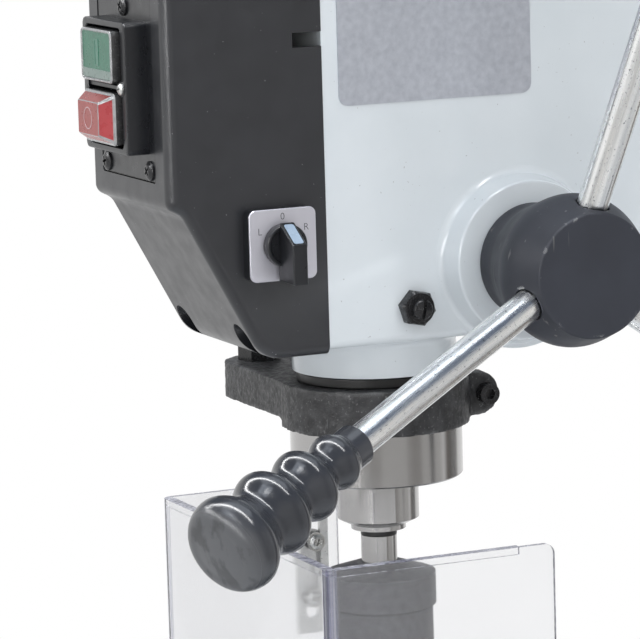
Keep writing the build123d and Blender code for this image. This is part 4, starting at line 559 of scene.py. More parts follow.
# Material tools
class Wiring:
    """A node tree in the making, with the coordinates that its patterns follow."""

    def __init__(self, tree, coordinates):
        self.nodes = tree.nodes
        self.links = tree.links
        self.place = self.nodes.new("ShaderNodeTexCoord").outputs[coordinates]

    def node(self, kind, inputs, **options):
        """A new node with its inputs set or linked."""
        made = self.nodes.new("ShaderNode" + kind)
        for name, value in options.items():
            setattr(made, name, value)
        for name, value in inputs.items():
            if isinstance(value, bpy.types.NodeSocket):
                self.links.new(value, made.inputs[name])
            else:
                made.inputs[name].default_value = value
        return made

    def noise(self, size, detail, stretch=(1, 1, 1)):
        """Soft noise whose lumps have this size in millimetres, longer where the stretch is small."""
        mapped = self.node("Mapping", {"Vector": self.place, "Scale": stretch}).outputs[0]
        scale = 1 / (size * mm)
        return self.node("TexNoise", {"Vector": mapped, "Scale": scale, "Detail": detail}).outputs[0]

    def spread(self, value, low, high, start=0.3, end=0.7):
        """The value carried from start and end to low and high, and held there beyond."""
        limits = {"Value": value, "From Min": start, "From Max": end, "To Min": low, "To Max": high}
        return self.node("MapRange", limits).outputs[0]

    def between(self, share, first, second):
        """A colour between two others."""
        made = self.node("Mix", {}, data_type="RGBA")
        self.links.new(share, made.inputs[0])
        for index, colour in ((6, first), (7, second)):
            if isinstance(colour, bpy.types.NodeSocket):
                self.links.new(colour, made.inputs[index])
            else:
                made.inputs[index].default_value = (*colour, 1)
        return made.outputs[2]

    def math(self, operation, first, second):
        """Two numbers joined, held between nought and one."""
        return self.node("Math", {0: first, 1: second}, operation=operation, use_clamp=True).outputs[0]

    def facing(self, first, second):
        """How far two directions agree, with one for the same direction."""
        return self.node("VectorMath", {0: first, 1: second}, operation="DOT_PRODUCT").outputs["Value"]

    def rays(self):
        """Ones for rays that see the surroundings straight or through clear sheet, and for reflected ones."""
        path = self.node("LightPath", {}).outputs
        return self.math("ADD", path["Is Camera Ray"], path["Is Transmission Ray"]), path["Is Glossy Ray"]

    def card_bands(self):
        """The horizon in reflections: white, with the grey cards that stand round the stage."""
        level = self.node("VectorMath", {0: self.place, 1: (1, 1, 0)}, operation="MULTIPLY").outputs[0]
        around = self.node("VectorMath", {0: level}, operation="NORMALIZE").outputs[0]
        shade = 0.0
        for azimuth, half_width, share in cards:
            facing = self.facing(around, direction(azimuth, 0))
            outer = math.cos(math.radians(half_width + card_blur))
            inner = math.cos(math.radians(half_width - card_blur))
            shade = self.math("MAXIMUM", shade, self.spread(facing, 0, share, outer, inner))
        return self.between(shade, white, card_colour)


class Finish(Wiring):
    """A material in the making, with its shader and the piece's own coordinates in metres."""

    def __init__(self, name):
        self.made = bpy.data.materials.new(name)
        self.made.use_nodes = True
        super().__init__(self.made.node_tree, "Object")
        self.shader = self.nodes["Principled BSDF"]

    def set(self, **values):
        """Sets sockets of the shader, named here with _ for a blank."""
        for name, value in values.items():
            self.shader.inputs[name.replace("_", " ")].default_value = value

    def use(self, socket, value):
        """Feeds one of the shader's sockets."""
        self.links.new(value, self.shader.inputs[socket])

    def tint(self, share, colour):
        """Carries the base colour over to another one by a share."""
        self.colour = self.between(share, self.colour, colour)
        self.use("Base Color", self.colour)

    def edges(self, width):
        """Nought on flat ground and one along sharp outer and inner edges, this many millimetres wide."""
        soft = self.node("Bevel", {"Radius": width * mm}, samples=4).outputs[0]
        plain = self.node("NewGeometry", {}).outputs["Normal"]
        return self.spread(self.facing(soft, plain), 1, 0, start=0.8, end=0.99)

    def uneven(self, dark, light, lump, rough, grain, depth, stretch=(1, 1, 1), **settings):
        """A colour that wanders between two others, uneven gloss and a fine grain."""
        tone = self.noise(lump, detail=4, stretch=stretch)
        gloss = self.noise(lump / 3, detail=3, stretch=stretch)
        fine = self.noise(grain, detail=2, stretch=stretch)
        self.colour = dark
        self.tint(self.spread(tone, 0, 1), light)
        self.use("Roughness", self.spread(gloss, *rough))
        self.use("Normal", self.node("Bump", {"Height": fine, "Distance": depth * mm}).outputs[0])
        self.set(**settings)

    def turned_grain(self):
        """Draws reflections out along the Z axis, as grinding round it does."""
        self.use("Tangent", self.node("Tangent", {}, direction_type="RADIAL", axis="Z").outputs[0])
        self.set(Anisotropic=0.7, Anisotropic_Rotation=0.25)

    def specked(self, size, share, colour):
        """Small specks of dust or chipped paint."""
        least = 1 - share
        self.tint(self.spread(self.noise(size, detail=1), 0, 1, start=least, end=least + speck_blur), colour)

    def worn(self, width, colour):
        """Rubbed through to another colour here and there along the edges."""
        patches = self.spread(self.noise(worn_patch, detail=4), 0, 1, start=0.45, end=0.62)
        self.tint(self.math("MULTIPLY", self.edges(width), patches), colour)


finishes = {}


def material(describe):
    """Makes the material that a function describes, under the function's name."""
    finish = Finish(describe.__name__)
    describe(finish)
    finishes[describe.__name__] = finish.made
    return describe


# Materials, with the sizes of lumps, grain, specks and patches, and depths and widths, in millimetres
speck_blur = 0.03
worn_patch = 12
button_gloss = {"rough": (0.25, 0.34), "grain": 4, "depth": 0.002}
mark_gloss = {"lump": 3, "rough": (0.3, 0.4), "grain": 2, "depth": 0.001}
cap_gloss = {"lump": 6, "rough": (0.2, 0.3), "grain": 4, "depth": 0.002, "Coat_Weight": 0.4,
             "Coat_Roughness": 0.12}


@material
def white_paint(finish):
    finish.uneven((0.67, 0.71, 0.73), (0.73, 0.765, 0.785), lump=60, rough=(0.14, 0.24), grain=14,
                  depth=0.11, Coat_Weight=0.3, Coat_Roughness=0.06)
    finish.specked(size=1.6, share=0.222, colour=(0.45, 0.46, 0.46))


@material
def grey_paint(finish):
    finish.uneven((0.20, 0.21, 0.22), (0.25, 0.26, 0.27), lump=40, rough=(0.3, 0.45), grain=4, depth=0.12)
    finish.worn(width=1.5, colour=(0.32, 0.31, 0.30))


@material
def housing_paint(finish):
    finish.uneven((0.69, 0.73, 0.75), (0.74, 0.775, 0.795), lump=50, rough=(0.25, 0.38), grain=3, depth=0.03)


@material
def machined_iron(finish):
    finish.uneven((0.30, 0.30, 0.30), (0.44, 0.44, 0.43), lump=30, rough=(0.3, 0.45), grain=1.2,
                  depth=0.006, stretch=(0.12, 1, 1), Metallic=1.0)


@material
def bright_steel(finish):
    finish.uneven((0.40, 0.395, 0.39), (0.45, 0.445, 0.44), lump=30, rough=(0.17, 0.23), grain=0.5,
                  depth=0.0012, stretch=(0.2, 0.2, 1), Metallic=1.0)
    finish.turned_grain()


@material
def zinc_steel(finish):
    finish.uneven((0.50, 0.51, 0.51), (0.62, 0.62, 0.60), lump=6, rough=(0.25, 0.42), grain=1,
                  depth=0.005, Metallic=1.0)


@material
def black_steel(finish):
    finish.uneven((0.012, 0.012, 0.013), (0.03, 0.03, 0.032), lump=4, rough=(0.18, 0.34), grain=0.8,
                  depth=0.01, Metallic=0.3)
    finish.worn(width=0.6, colour=(0.12, 0.12, 0.12))


@material
def chuck_steel(finish):
    finish.uneven((0.036, 0.036, 0.042), (0.088, 0.088, 0.097), lump=3, rough=(0.4, 0.6), grain=0.9,
                  depth=0.14, Metallic=0.6)
    finish.worn(width=0.8, colour=(0.3, 0.3, 0.31))


@material
def black_iron(finish):
    finish.uneven((0.012, 0.012, 0.013), (0.034, 0.034, 0.036), lump=4, rough=(0.38, 0.62), grain=1.2,
                  depth=0.12)
    finish.worn(width=1.2, colour=(0.10, 0.10, 0.10))


@material
def clamp_iron(finish):
    """Blackened iron, scraped and rubbed grey on its outer faces."""
    finish.uneven((0.008, 0.008, 0.009), (0.046, 0.046, 0.048), lump=7, rough=(0.36, 0.65), grain=1.4,
                  depth=0.32)
    finish.worn(width=4, colour=(0.20, 0.20, 0.20))
    finish.specked(size=1.3, share=0.33, colour=(0.11, 0.11, 0.11))
    scrapes = finish.noise(1.6, detail=3, stretch=(1, 1, 0.12))
    finish.tint(finish.spread(scrapes, 0, 1, start=0.68, end=0.76), (0.10, 0.10, 0.105))


@material
def hub_black(finish):
    """Black paint, scuffed all over and chipped to the metal along its edges, with a painted sheen and
    painted highlights.
    """
    # Base lightened and tinted blue: a painted sheen of the bluish light from above, standing in for gloss.
    finish.uneven((0.034, 0.036, 0.044), (0.042, 0.045, 0.056), lump=30, rough=(0.44, 0.54), grain=0.6,
                  depth=0.003, IOR=1.32)
    # Pale lavender along the edges: rubbing, together with a painted highlight on the fillets.
    finish.worn(width=1.6, colour=(0.26, 0.26, 0.31))
    scuffs = finish.noise(3, detail=2, stretch=(1, 0.06, 1))
    finish.tint(finish.spread(scuffs, 0, 1, start=0.70, end=0.76), (0.13, 0.13, 0.13))
    spots = finish.spread(finish.noise(6, detail=2), 0, 1, start=0.63, end=0.66)
    finish.tint(finish.math("MULTIPLY", finish.edges(2.5), spots), (0.62, 0.62, 0.60))


@material
def chrome(finish):
    finish.uneven((0.66, 0.68, 0.70), (0.78, 0.78, 0.78), lump=4, rough=(0.10, 0.20), grain=1.1,
                  depth=0.009, Metallic=1.0)
    finish.specked(size=1.2, share=0.27, colour=(0.28, 0.28, 0.29))


@material
def lever_chrome(finish):
    """Chrome worn dull by hands, drawn out along the lever."""
    finish.uneven((0.66, 0.68, 0.70), (0.92, 0.92, 0.90), lump=4, rough=(0.17, 0.33), grain=0.6,
                  depth=0.016, stretch=(1, 1, 0.06), Metallic=1.0)
    finish.specked(size=1.1, share=0.32, colour=(0.24, 0.25, 0.28))


@material
def pulley_metal(finish):
    finish.uneven((0.45, 0.46, 0.47), (0.56, 0.57, 0.58), lump=10, rough=(0.3, 0.45), grain=0.8,
                  depth=0.01, Metallic=1.0)
    finish.turned_grain()


@material
def plate_metal(finish):
    finish.uneven((0.46, 0.48, 0.53), (0.56, 0.58, 0.63), lump=3.5, rough=(0.32, 0.5), grain=2.2,
                  depth=0.11, Metallic=0.55)


@material
def selector_silver(finish):
    finish.uneven((0.58, 0.57, 0.62), (0.66, 0.65, 0.70), lump=20, rough=(0.34, 0.42), grain=0.5,
                  depth=0.003, stretch=(1, 0.1, 1), Metallic=0.6)


@material
def black_cover(finish):
    finish.uneven((0.017, 0.018, 0.021), (0.021, 0.022, 0.026), lump=30, rough=(0.3, 0.4), grain=0.4,
                  depth=0.005, IOR=1.62)
    finish.specked(size=1.6, share=0.225, colour=(0.25, 0.25, 0.25))


@material
def black_plastic(finish):
    finish.uneven((0.007, 0.008, 0.0105), (0.010, 0.011, 0.014), lump=20, rough=(0.26, 0.36), grain=1.2,
                  depth=0.001, IOR=1.55)


@material
def lid_plastic(finish):
    finish.uneven((0.018, 0.019, 0.021), (0.026, 0.027, 0.029), lump=30, rough=(0.4, 0.5), grain=0.6,
                  depth=0.01)


@material
def grip_plastic(finish):
    """Glossy round the beads, dull and stained on the end face."""
    finish.uneven((0.030, 0.032, 0.037), (0.042, 0.044, 0.051), lump=20, rough=(0.12, 0.18), grain=12,
                  depth=0.01)
    height = finish.node("SeparateXYZ", {"Vector": finish.place}).outputs[2]
    end = finish.spread(height, 0, 1, start=grip_gloss_end, end=grip_dull_start)
    stain = finish.spread(finish.noise(8, detail=5, stretch=(1, 0.5, 1)), 0, 1, start=0.38, end=0.47)
    finish.tint(end, finish.between(stain, (0.075, 0.076, 0.079), (0.128, 0.130, 0.135)))
    finish.use("Roughness", finish.spread(end, 0.16, 0.42, start=0, end=1))


@material
def ring_black(finish):
    finish.uneven((0.004, 0.004, 0.004), (0.008, 0.008, 0.008), lump=10, rough=(0.3, 0.45), grain=2,
                  depth=0.004)


@material
def belt_rubber(finish):
    finish.uneven((0.012, 0.012, 0.012), (0.022, 0.022, 0.022), lump=5, rough=(0.6, 0.8), grain=0.6,
                  depth=0.03)


@material
def green_plastic(finish):
    finish.uneven((0.022, 0.165, 0.092), (0.034, 0.20, 0.116), lump=12, **button_gloss)


@material
def green_mark(finish):
    finish.uneven((0.08, 0.24, 0.16), (0.10, 0.27, 0.19), **mark_gloss)


@material
def red_plastic(finish):
    finish.uneven((0.38, 0.030, 0.036), (0.44, 0.040, 0.046), lump=12, **button_gloss)


@material
def red_haze(finish):
    """Red seen through the cloudy cap, paler than on the side slopes: partly the cap's haze, partly a painted
    sheen of the bright surroundings.
    """
    finish.uneven((0.38, 0.058, 0.050), (0.44, 0.075, 0.065), lump=8, **button_gloss)


@material
def pale_mark(finish):
    finish.uneven((0.60, 0.36, 0.36), (0.66, 0.44, 0.44), **mark_gloss)


@material
def cap_rim(finish):
    """Painted highlight along the edges of the clear caps."""
    finish.uneven((0.28, 0.275, 0.27), (0.44, 0.435, 0.43), **cap_gloss)


@material
def cap_side(finish):
    """The dark sides of the clear caps."""
    finish.uneven((0.026, 0.026, 0.026), (0.06, 0.058, 0.057), **cap_gloss)


@material
def cap_haze(finish):
    """The cloudy strip at the foot of the start button."""
    finish.uneven((0.20, 0.29, 0.245), (0.27, 0.34, 0.30), lump=6, rough=(0.25, 0.35), grain=4, depth=0.002)


@material
def letter_ink(finish):
    finish.uneven((0.05, 0.05, 0.06), (0.08, 0.08, 0.09), lump=2, rough=(0.4, 0.5), grain=1, depth=0.003)


@material
def pointer_blue(finish):
    finish.uneven((0.36, 0.46, 0.58), (0.42, 0.52, 0.64), lump=4, rough=(0.2, 0.3), grain=1, depth=0.004)


@material
def clear_sheet(finish):
    finish.uneven((0.905, 0.907, 0.918), (0.922, 0.924, 0.934), lump=50, rough=(0.02, 0.05), grain=30,
                  depth=0.001, Transmission_Weight=0.94, IOR=1.49)


@material
def sawn_edge(finish):
    finish.uneven((0.20, 0.20, 0.27), (0.62, 0.62, 0.70), lump=10, rough=(0.2, 0.35), grain=0.8,
                  depth=0.02, Transmission_Weight=0.35, IOR=1.49)


@material
def bent_sheet(finish):
    """Clear sheet where it bends, with painted reflections: light and dark streaks along the fold."""
    finish.uneven((0.20, 0.20, 0.36), (1.0, 1.0, 1.0), lump=1.6, rough=(0.05, 0.12), grain=2,
                  depth=0.001, stretch=(1, 1, 0.01), Transmission_Weight=0.75, IOR=1.0)


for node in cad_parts.values():
    node.material_slots[0].material = finishes[node.material_slots[0].material.name.split(".")[0]]


# Head: the boss round the feed shaft and the nose round the quill run softly into the casting
def feed_boss():
    path = rounded((
        (0, -boss_sink), (boss_wall_r, -boss_sink), (boss_wall_r, boss_skin),
        (boss_base_r, boss_skin, boss_fillet), (boss_face_r, boss_height, boss_edge), (0, boss_height),
    ))
    made = turned("feed_boss", path, along((head_side, feed_y, feed_z), (1, 0, 0)), wide_round)
    dress(made, "white_paint", "frame", "white_paint")


def quill_nose():
    top = nose_height + nose_rim
    path = rounded((
        (nose_bore_r, 0), (nose_r, 0, nose_edge), (nose_r, nose_height, nose_flare_r - nose_r),
        (nose_rim_r, nose_height), (nose_rim_r, top), (nose_bore_r, top), (nose_bore_r, 0),
    ))
    made = turned("quill_nose", path, along((0, spindle_y, quill_bottom + nose_lift), (0, 0, 1)), wide_round)
    dress(made, "white_paint", "frame", "white_paint")


feed_boss()
quill_nose()


# Feed hub with its levers and their grips
def lever_way(index):
    """Where a lever starts on the hub's axis, and its direction."""
    turn = math.radians(lever_start + 360 / lever_count * index)
    lean = math.radians(lever_lean)
    way = Vector((math.sin(lean), math.cos(lean) * math.cos(turn), math.cos(lean) * math.sin(turn)))
    return Vector((hub_low.x + lever_base, feed_y, feed_z)), way


def feed_hub():
    path = rounded((
        (0, 0), (hub_neck_r, 0, hub_edge), (hub_neck_r, hub_flare, hub_flare_bend),
        (hub_rim_r, hub_rim, hub_rim_bend), (hub_face_r, hub_length, hub_edge), (0, hub_length),
    ))
    made = turned("feed_hub_turned", path, along((hub_low.x, feed_y, feed_z), (1, 0, 0)), wide_round)
    mouth = 2 * hub_rim_r
    hole = ((0, lever_socket), (lever_hole_r, lever_socket), (lever_hole_r, mouth), (0, mouth))
    sockets = []
    for index in range(lever_count):
        sockets.append(turned("socket", hole, along(*lever_way(index)), small_round))
    cut(made, *sockets)
    dress(made, "hub_black", "feed", "black_iron", "feed_hub")


def feed_levers():
    path = rounded((
        (0, lever_foot), (lever_r, lever_foot, lever_foot_edge), (lever_r, lever_end), (0, lever_end),
    ))
    for index in range(lever_count):
        made = turned(f"feed_lever_{index + 1}", path, along(*lever_way(index)))
        dress(made, "lever_chrome", "feed", "chrome", "feed_levers")


def grip_line():
    """Half the outline of a grip, from the collar over the beads to the end face."""
    line = [
        (0, grip_start), (grip_collar_r - grip_collar_edge, grip_start),
        (grip_collar_r, grip_start + grip_collar_edge_length),
    ]
    for (start, start_r), (end, end_r) in zip(grip_wave, grip_wave[1:]):
        for step in range(grip_wave_steps):
            share = step / grip_wave_steps
            if end_r > start_r:
                rise = 0.5 - 0.5 * math.cos(math.pi * share ** grip_groove_power)
            else:
                rise = 0.5 + 0.5 * math.cos(math.pi * (1 - share) ** grip_groove_power)
            line.append(((start_r + (end_r - start_r) * rise) * mm, (start + (end - start) * share) * mm))
    crest, crest_r = (value * mm for value in grip_wave[-1])
    side_length = grip_end_length - grip_dome
    for step in range(grip_end_steps):
        turn = math.pi / 2 * step / grip_end_steps
        width = math.cos(turn) ** grip_end_width_power
        length = math.sin(turn) ** grip_end_length_power
        line.append((grip_face_r + (crest_r - grip_face_r) * width, crest + side_length * length))
    for step in range(grip_dome_steps + 1):
        left = 1 - step / grip_dome_steps
        line.append((grip_face_r * left, crest + grip_end_length - grip_dome * left ** 2))
    return line


def lever_grips():
    for index in range(lever_count):
        made = turned(f"lever_grip_{index + 1}", grip_line(), along(*lever_way(index)))
        dress(made, "grip_plastic", "feed", "grip_plastic", "lever_grips")


feed_hub()
feed_levers()
lever_grips()


# Depth clamp with soft edges and a rough cast skin, and the rings round quill and arbor
def depth_clamp():
    made = copy_of("depth_clamp", "depth_clamp_cast")
    grid = made.modifiers.new("grid", "REMESH")
    grid.mode = "VOXEL"
    grid.voxel_size = clamp_grid
    soft = made.modifiers.new("soft", "SMOOTH")
    soft.factor = clamp_softness
    soft.iterations = clamp_smoothing
    settle(made)
    for vertex, corner in zip(made.data.vertices, made.data.vertex_normals):
        lift = sum(noise.noise(vertex.co * rate) * height for rate, height in clamp_lumps)
        vertex.co += corner.vector * lift
    dress(made, "clamp_iron", "quill", "black_iron", "depth_clamp")


def quill_buffer():
    """A near-black ring round the quill that fills the gap between the clamp and the nose of the head."""
    clamp_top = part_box("depth_clamp")[1].z
    path = rounded((
        (dark_ring_bore_r, 0), (dark_ring_r, 0, dark_ring_edge), (dark_ring_r, dark_ring_height, dark_ring_edge),
        (dark_ring_bore_r, dark_ring_height), (dark_ring_bore_r, 0),
    ))
    made = turned("quill_buffer", path, along((0, spindle_y, clamp_top + clear), (0, 0, 1)), wide_round)
    dress(made, "ring_black", "quill", "belt_rubber")


def arbor_ring():
    """The black ring in the groove where the arbor leaves the spindle."""
    spindle_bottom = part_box("spindle")[0].z
    path = rounded((
        (arbor_groove_r, -arbor_groove), (arbor_ring_r, -arbor_groove, ring_edge),
        (arbor_ring_r, -clear, ring_edge), (arbor_groove_r, -clear), (arbor_groove_r, -arbor_groove),
    ))
    made = turned("arbor_ring", path, along((0, spindle_y, spindle_bottom), (0, 0, 1)))
    dress(made, "ring_black", "spindle", "belt_rubber")


depth_clamp()
quill_buffer()
arbor_ring()


# Guard: clear sheet whose cut edges are dull, with its screws
def chuck_guard():
    made = copy_of("chuck_guard", "guard_sheet")
    dress(made, "clear_sheet", "guard", "clear_sheet", "chuck_guard")
    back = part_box("chuck_guard")[1].y - guard_back

    def is_edge(face):
        return abs(face.normal.z) > mostly or (abs(face.normal.y) > mostly and face.center.y > back)

    def is_bend(face):
        return abs(face.normal.x) > partly and abs(face.normal.y) > partly and abs(face.normal.z) < hardly

    paint(made, "sawn_edge", is_edge)
    # The bends carry painted reflections as light and dark streaks.
    paint(made, "bent_sheet", is_bend)


def guard_screws():
    """Domed screws on washers inside the sheet, and the clamping strip with its nuts outside the bar."""
    low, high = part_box("guard_screws")
    strip_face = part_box("guard_bar")[0].x
    nut_face = strip_face - strip_thickness
    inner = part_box("chuck_guard")[0].x + guard_sheet
    middle = (low.y + high.y) / 2
    levels = (low.z + guard_washer_r, high.z - guard_washer_r)
    strip_height = levels[1] - levels[0] + strip_width
    made = [tiers("guard_strip", (
        (strip_width, strip_height, strip_width / 2, -strip_thickness),
        (strip_width, strip_height, strip_width / 2, -clear),
    ), facing_right(strip_face, middle, (levels[0] + levels[1]) / 2))]
    nut_end = low.x - nut_face + guard_nut_gap
    nut_corner = hex_corner(guard_nut)
    nut_levels = ((guard_nut_top_r, nut_end), (nut_corner, nut_end + guard_nut_edge), (nut_corner, 0))
    thread_end = low.x - inner
    thread = rounded((
        (0, thread_end), (guard_thread_r, thread_end, guard_thread_edge), (guard_thread_r, 0), (0, 0),
    ))
    for index, level in enumerate(levels):
        number = index + 1
        place = facing_right(inner, middle, level)
        nut_place = facing_right(nut_face, middle, level)
        made.append(flat_ring(f"guard_washer_{number}", guard_washer_r, guard_screw_r / 2, guard_washer,
                              place))
        made.append(crossed_screw(f"guard_screw_{number}", guard_screw_r, place @ raised(guard_washer),
                                  guard_screw_turns[index]))
        made.append(hex_nut(f"guard_nut_{number}", guard_nut, nut_levels, nut_place))
        made.append(turned(f"guard_thread_{number}", thread, place, thread_round))
    for fastener in made:
        dress(fastener, "zinc_steel", "guard", "zinc_steel", "guard_screws")


chuck_guard()
guard_screws()


# Switch: panel with its pedestal and screws
def switch_panel():
    width = panel_high.x - panel_low.x - 2 * panel_seam
    height = panel_high.z - panel_low.z - 2 * panel_seam
    plate = tiers("switch_plate", (
        (width, height, panel_corner, -panel_thickness + clear),
        (width, height, panel_corner, -panel_bevel_depth),
        (width - 2 * panel_bevel, height - 2 * panel_bevel, panel_top_corner, 0),
    ), facing_front(0, panel_face, (panel_low.z + panel_high.z) / 2))
    dress(plate, "black_plastic", "frame", "black_plastic", "switch_panel")
    # The plate's bevel is painted near black: painted shade in the seam round the panel.
    paint(plate, "ring_black", lambda face: face.normal.z < flat)


def switch_pedestal():
    """The raised frame with the well that the buttons stand in, and the bridge between them."""
    rise = panel_face - panel_low.y
    mouth = 2 * well_edge
    pedestal = tiers("switch_pedestal", (
        (pedestal_width, pedestal_height, pedestal_corner, -pedestal_sink),
        (pedestal_width, pedestal_height, pedestal_corner, rise - pedestal_edge),
        (pedestal_width - 2 * pedestal_step, pedestal_height - 2 * pedestal_step, pedestal_edge_corner,
         rise - pedestal_step),
        (pedestal_width - 2 * pedestal_edge, pedestal_height - 2 * pedestal_edge, pedestal_top_corner, rise),
        (well_width + mouth, well_height + mouth, well_corner + well_edge, rise),
        (well_width, well_height, well_corner, rise - well_edge_depth),
        (well_width, well_height, well_corner, rise - well_depth),
    ), facing_front(0, panel_face, (body_low.z + body_high.z) / 2))
    dress(pedestal, "black_plastic", "frame", "black_plastic", "switch_panel", "switch_body")
    bridge = tiers("switch_bridge", (
        (well_width, bridge_height, bridge_corner, -well_depth),
        (well_width, bridge_height, bridge_corner, -bridge_sink - bridge_edge),
        (well_width, bridge_height - 2 * bridge_edge, bridge_corner, -bridge_sink),
    ), facing_front(0, panel_low.y, button_gap))
    dress(bridge, "black_plastic", "frame", "black_plastic", "switch_body")


def panel_screws():
    low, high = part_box("panel_screws")
    across = high.x - panel_screw_r
    lower = low.z + panel_screw_r
    spots = ((-across, lower), (across, lower), (0, high.z - panel_screw_r))
    for index, (x, z) in enumerate(spots):
        place = facing_front(x, panel_face, z)
        made = crossed_screw(f"panel_screw_{index + 1}", panel_screw_r, place, panel_screw_turns[index])
        dress(made, "black_steel", "frame", "zinc_steel", "panel_screws")


# Buttons: a clear cap over each, and the small screw between them
def cap(name, low, high, front, inner, body, slot, node):
    """The clear cap over a button: dark sides, a rim painted pale as a highlight, and the coloured face
    inside it.
    """
    width = high.x - low.x
    height = high.z - low.z
    levels = [(width, height, button_corner, -hood_depth), (width, height, button_corner, -hood_rim)]
    for narrower, sharper, below in hood_bevels:
        levels.append((width - narrower, height - narrower, button_corner - sharper, -below))
    made = tiers(name, (*levels, *inner), facing_front(0, front, (low.z + high.z) / 2))
    dress(made, "cap_side", body, slot, node)
    # The rim is painted pale: a painted highlight along the cap's edges.
    paint(made, "cap_rim", lambda face: face.center.z > -hood_rim)
    return made


def start_button():
    width = start_high.x - start_low.x - window_border
    height = start_high.z - start_low.z - window_border
    inner = (
        (width + 2 * window_edge, height + 2 * window_edge, window_mouth_corner, 0),
        (width, height, window_corner, -window_sink),
    )
    front = start_low.y
    made = cap("start_cap", start_low, start_high, front, inner, "start", "green_plastic", "start_button")
    paint(made, "green_plastic", lambda face: face.normal.z > nearly and face.area > width * height / 2)
    face_y = front + window_sink
    middle = (start_low.z + start_high.z) / 2
    band_width = width - 2 * band_gap
    band = tiers("start_band", (
        (band_width, window_band, band_corner, -clear),
        (band_width - 2 * band_edge, window_band - 2 * band_edge, band_corner - band_edge, band_height),
    ), facing_front(0, face_y, middle - (height - window_band) / 2))
    dress(band, "cap_haze", "start", "green_plastic", "start_button")
    inside_width = bar_width - 2 * mark_line
    inside_height = bar_height - 2 * mark_line
    bar = tiers("start_mark", (
        (bar_width, bar_height, bar_corner, -bar_sink), (bar_width, bar_height, bar_corner, mark_height),
        (inside_width, inside_height, bar_inner_corner, mark_height),
        (inside_width, inside_height, bar_inner_corner, mark_groove),
    ), facing_front(0, face_y, middle + bar_lift))
    dress(bar, "green_mark", "start", "green_plastic", "start_button")


def stop_button():
    width = stop_high.x - stop_low.x - stop_foot_border
    height = stop_high.z - stop_low.z - stop_foot_border
    mouth = 2 * stop_foot_edge
    tip = 2 * stop_tip_edge
    tip_start = stop_rise - stop_tip_bevel
    inner = (
        (width + mouth, height + mouth, stop_mouth_corner, stop_mouth_height),
        (width, height, stop_foot_corner, stop_foot_height),
        (stop_tip_width + tip, stop_tip_height + tip, stop_tip_corner + stop_tip_bevel, tip_start),
        (stop_tip_width, stop_tip_height, stop_tip_corner, stop_rise),
    )
    front = stop_low.y + stop_rise
    made = cap("stop_cap", stop_low, stop_high, front, inner, "stop", "red_plastic", "stop_button")

    def is_slope(face):
        return stop_foot_height < face.center.z < tip_start - stop_margin

    paint(made, "red_plastic", lambda face: is_slope(face) and abs(face.normal.y) < aside)
    # The upper and lower slopes and the front face are painted paler red: the cap's haze together with a
    # painted sheen of the bright surroundings.
    paint(made, "red_haze", lambda face: is_slope(face) and abs(face.normal.x) < aside)
    paint(made, "red_haze", lambda face: face.center.z > stop_rise - stop_margin)
    ring = flat_ring("stop_mark", stop_ring_r, stop_ring_r - mark_line, mark_height,
                     facing_front(0, stop_low.y + clear, (stop_low.z + stop_high.z) / 2))
    dress(ring, "pale_mark", "stop", "red_plastic", "stop_button")


def side_screw():
    """The small screw in its round post between the buttons."""
    place = facing_front(side_screw_x, panel_low.y, button_gap)
    post = turned("switch_post", rounded((
        (0, -well_depth), (post_r, -well_depth), (post_r, post_height, post_edge), (0, post_height),
    )), place, small_round)
    dress(post, "black_plastic", "frame", "black_plastic", "switch_body")
    made = crossed_screw("switch_screw", side_screw_r, place @ raised(side_screw_lift), side_screw_turn)
    dress(made, "zinc_steel", "frame", "zinc_steel")


switch_panel()
switch_pedestal()
panel_screws()
start_button()
stop_button()
side_screw()


# Selector: silver plate on a black block, three letters and a knob with a blade
def letter(text, back, up):
    """One letter on the selector plate."""
    data = bpy.data.curves.new("letter", "FONT")
    data.body = text
    data.size = letter_height / letter_share
    data.align_x = "CENTER"
    data.align_y = "CENTER"
    data.extrude = letter_thickness
    data.offset = -letter_thinning
    drawn = bpy.data.objects.new("drawn_letter", data)
    bpy.context.scene.collection.objects.link(drawn)
    bpy.context.view_layer.update()
    mesh = bpy.data.meshes.new_from_object(drawn.evaluated_get(bpy.context.evaluated_depsgraph_get()))
    bpy.data.objects.remove(drawn)
    shape = bmesh.new()
    shape.from_mesh(mesh)
    place = facing_right(selector_face, selector_y + back, selector_z + up)
    made = piece("selector_letter_" + text, shape, place)
    dress(made, "letter_ink", "frame", "plate_metal")


def selector():
    place = facing_right(selector_face, selector_y, selector_z)
    block = tiers("selector_block", (
        (selector_block_size, selector_block_size, selector_corner, -selector_block_depth),
        (selector_block_size, selector_block_size, selector_corner, -selector_plate),
    ), place)
    dress(block, "black_plastic", "frame", "black_plastic", "selector_switch")
    top_size = selector_size - 2 * selector_edge
    plate = tiers("selector_plate", (
        (selector_size, selector_size, selector_corner, -selector_plate),
        (selector_size, selector_size, selector_corner, -selector_edge),
        (top_size, top_size, selector_top_corner, 0),
    ), place)
    dress(plate, "selector_silver", "frame", "plate_metal", "selector_switch")
    for text, back, up in selector_letters:
        letter(text, back, up)


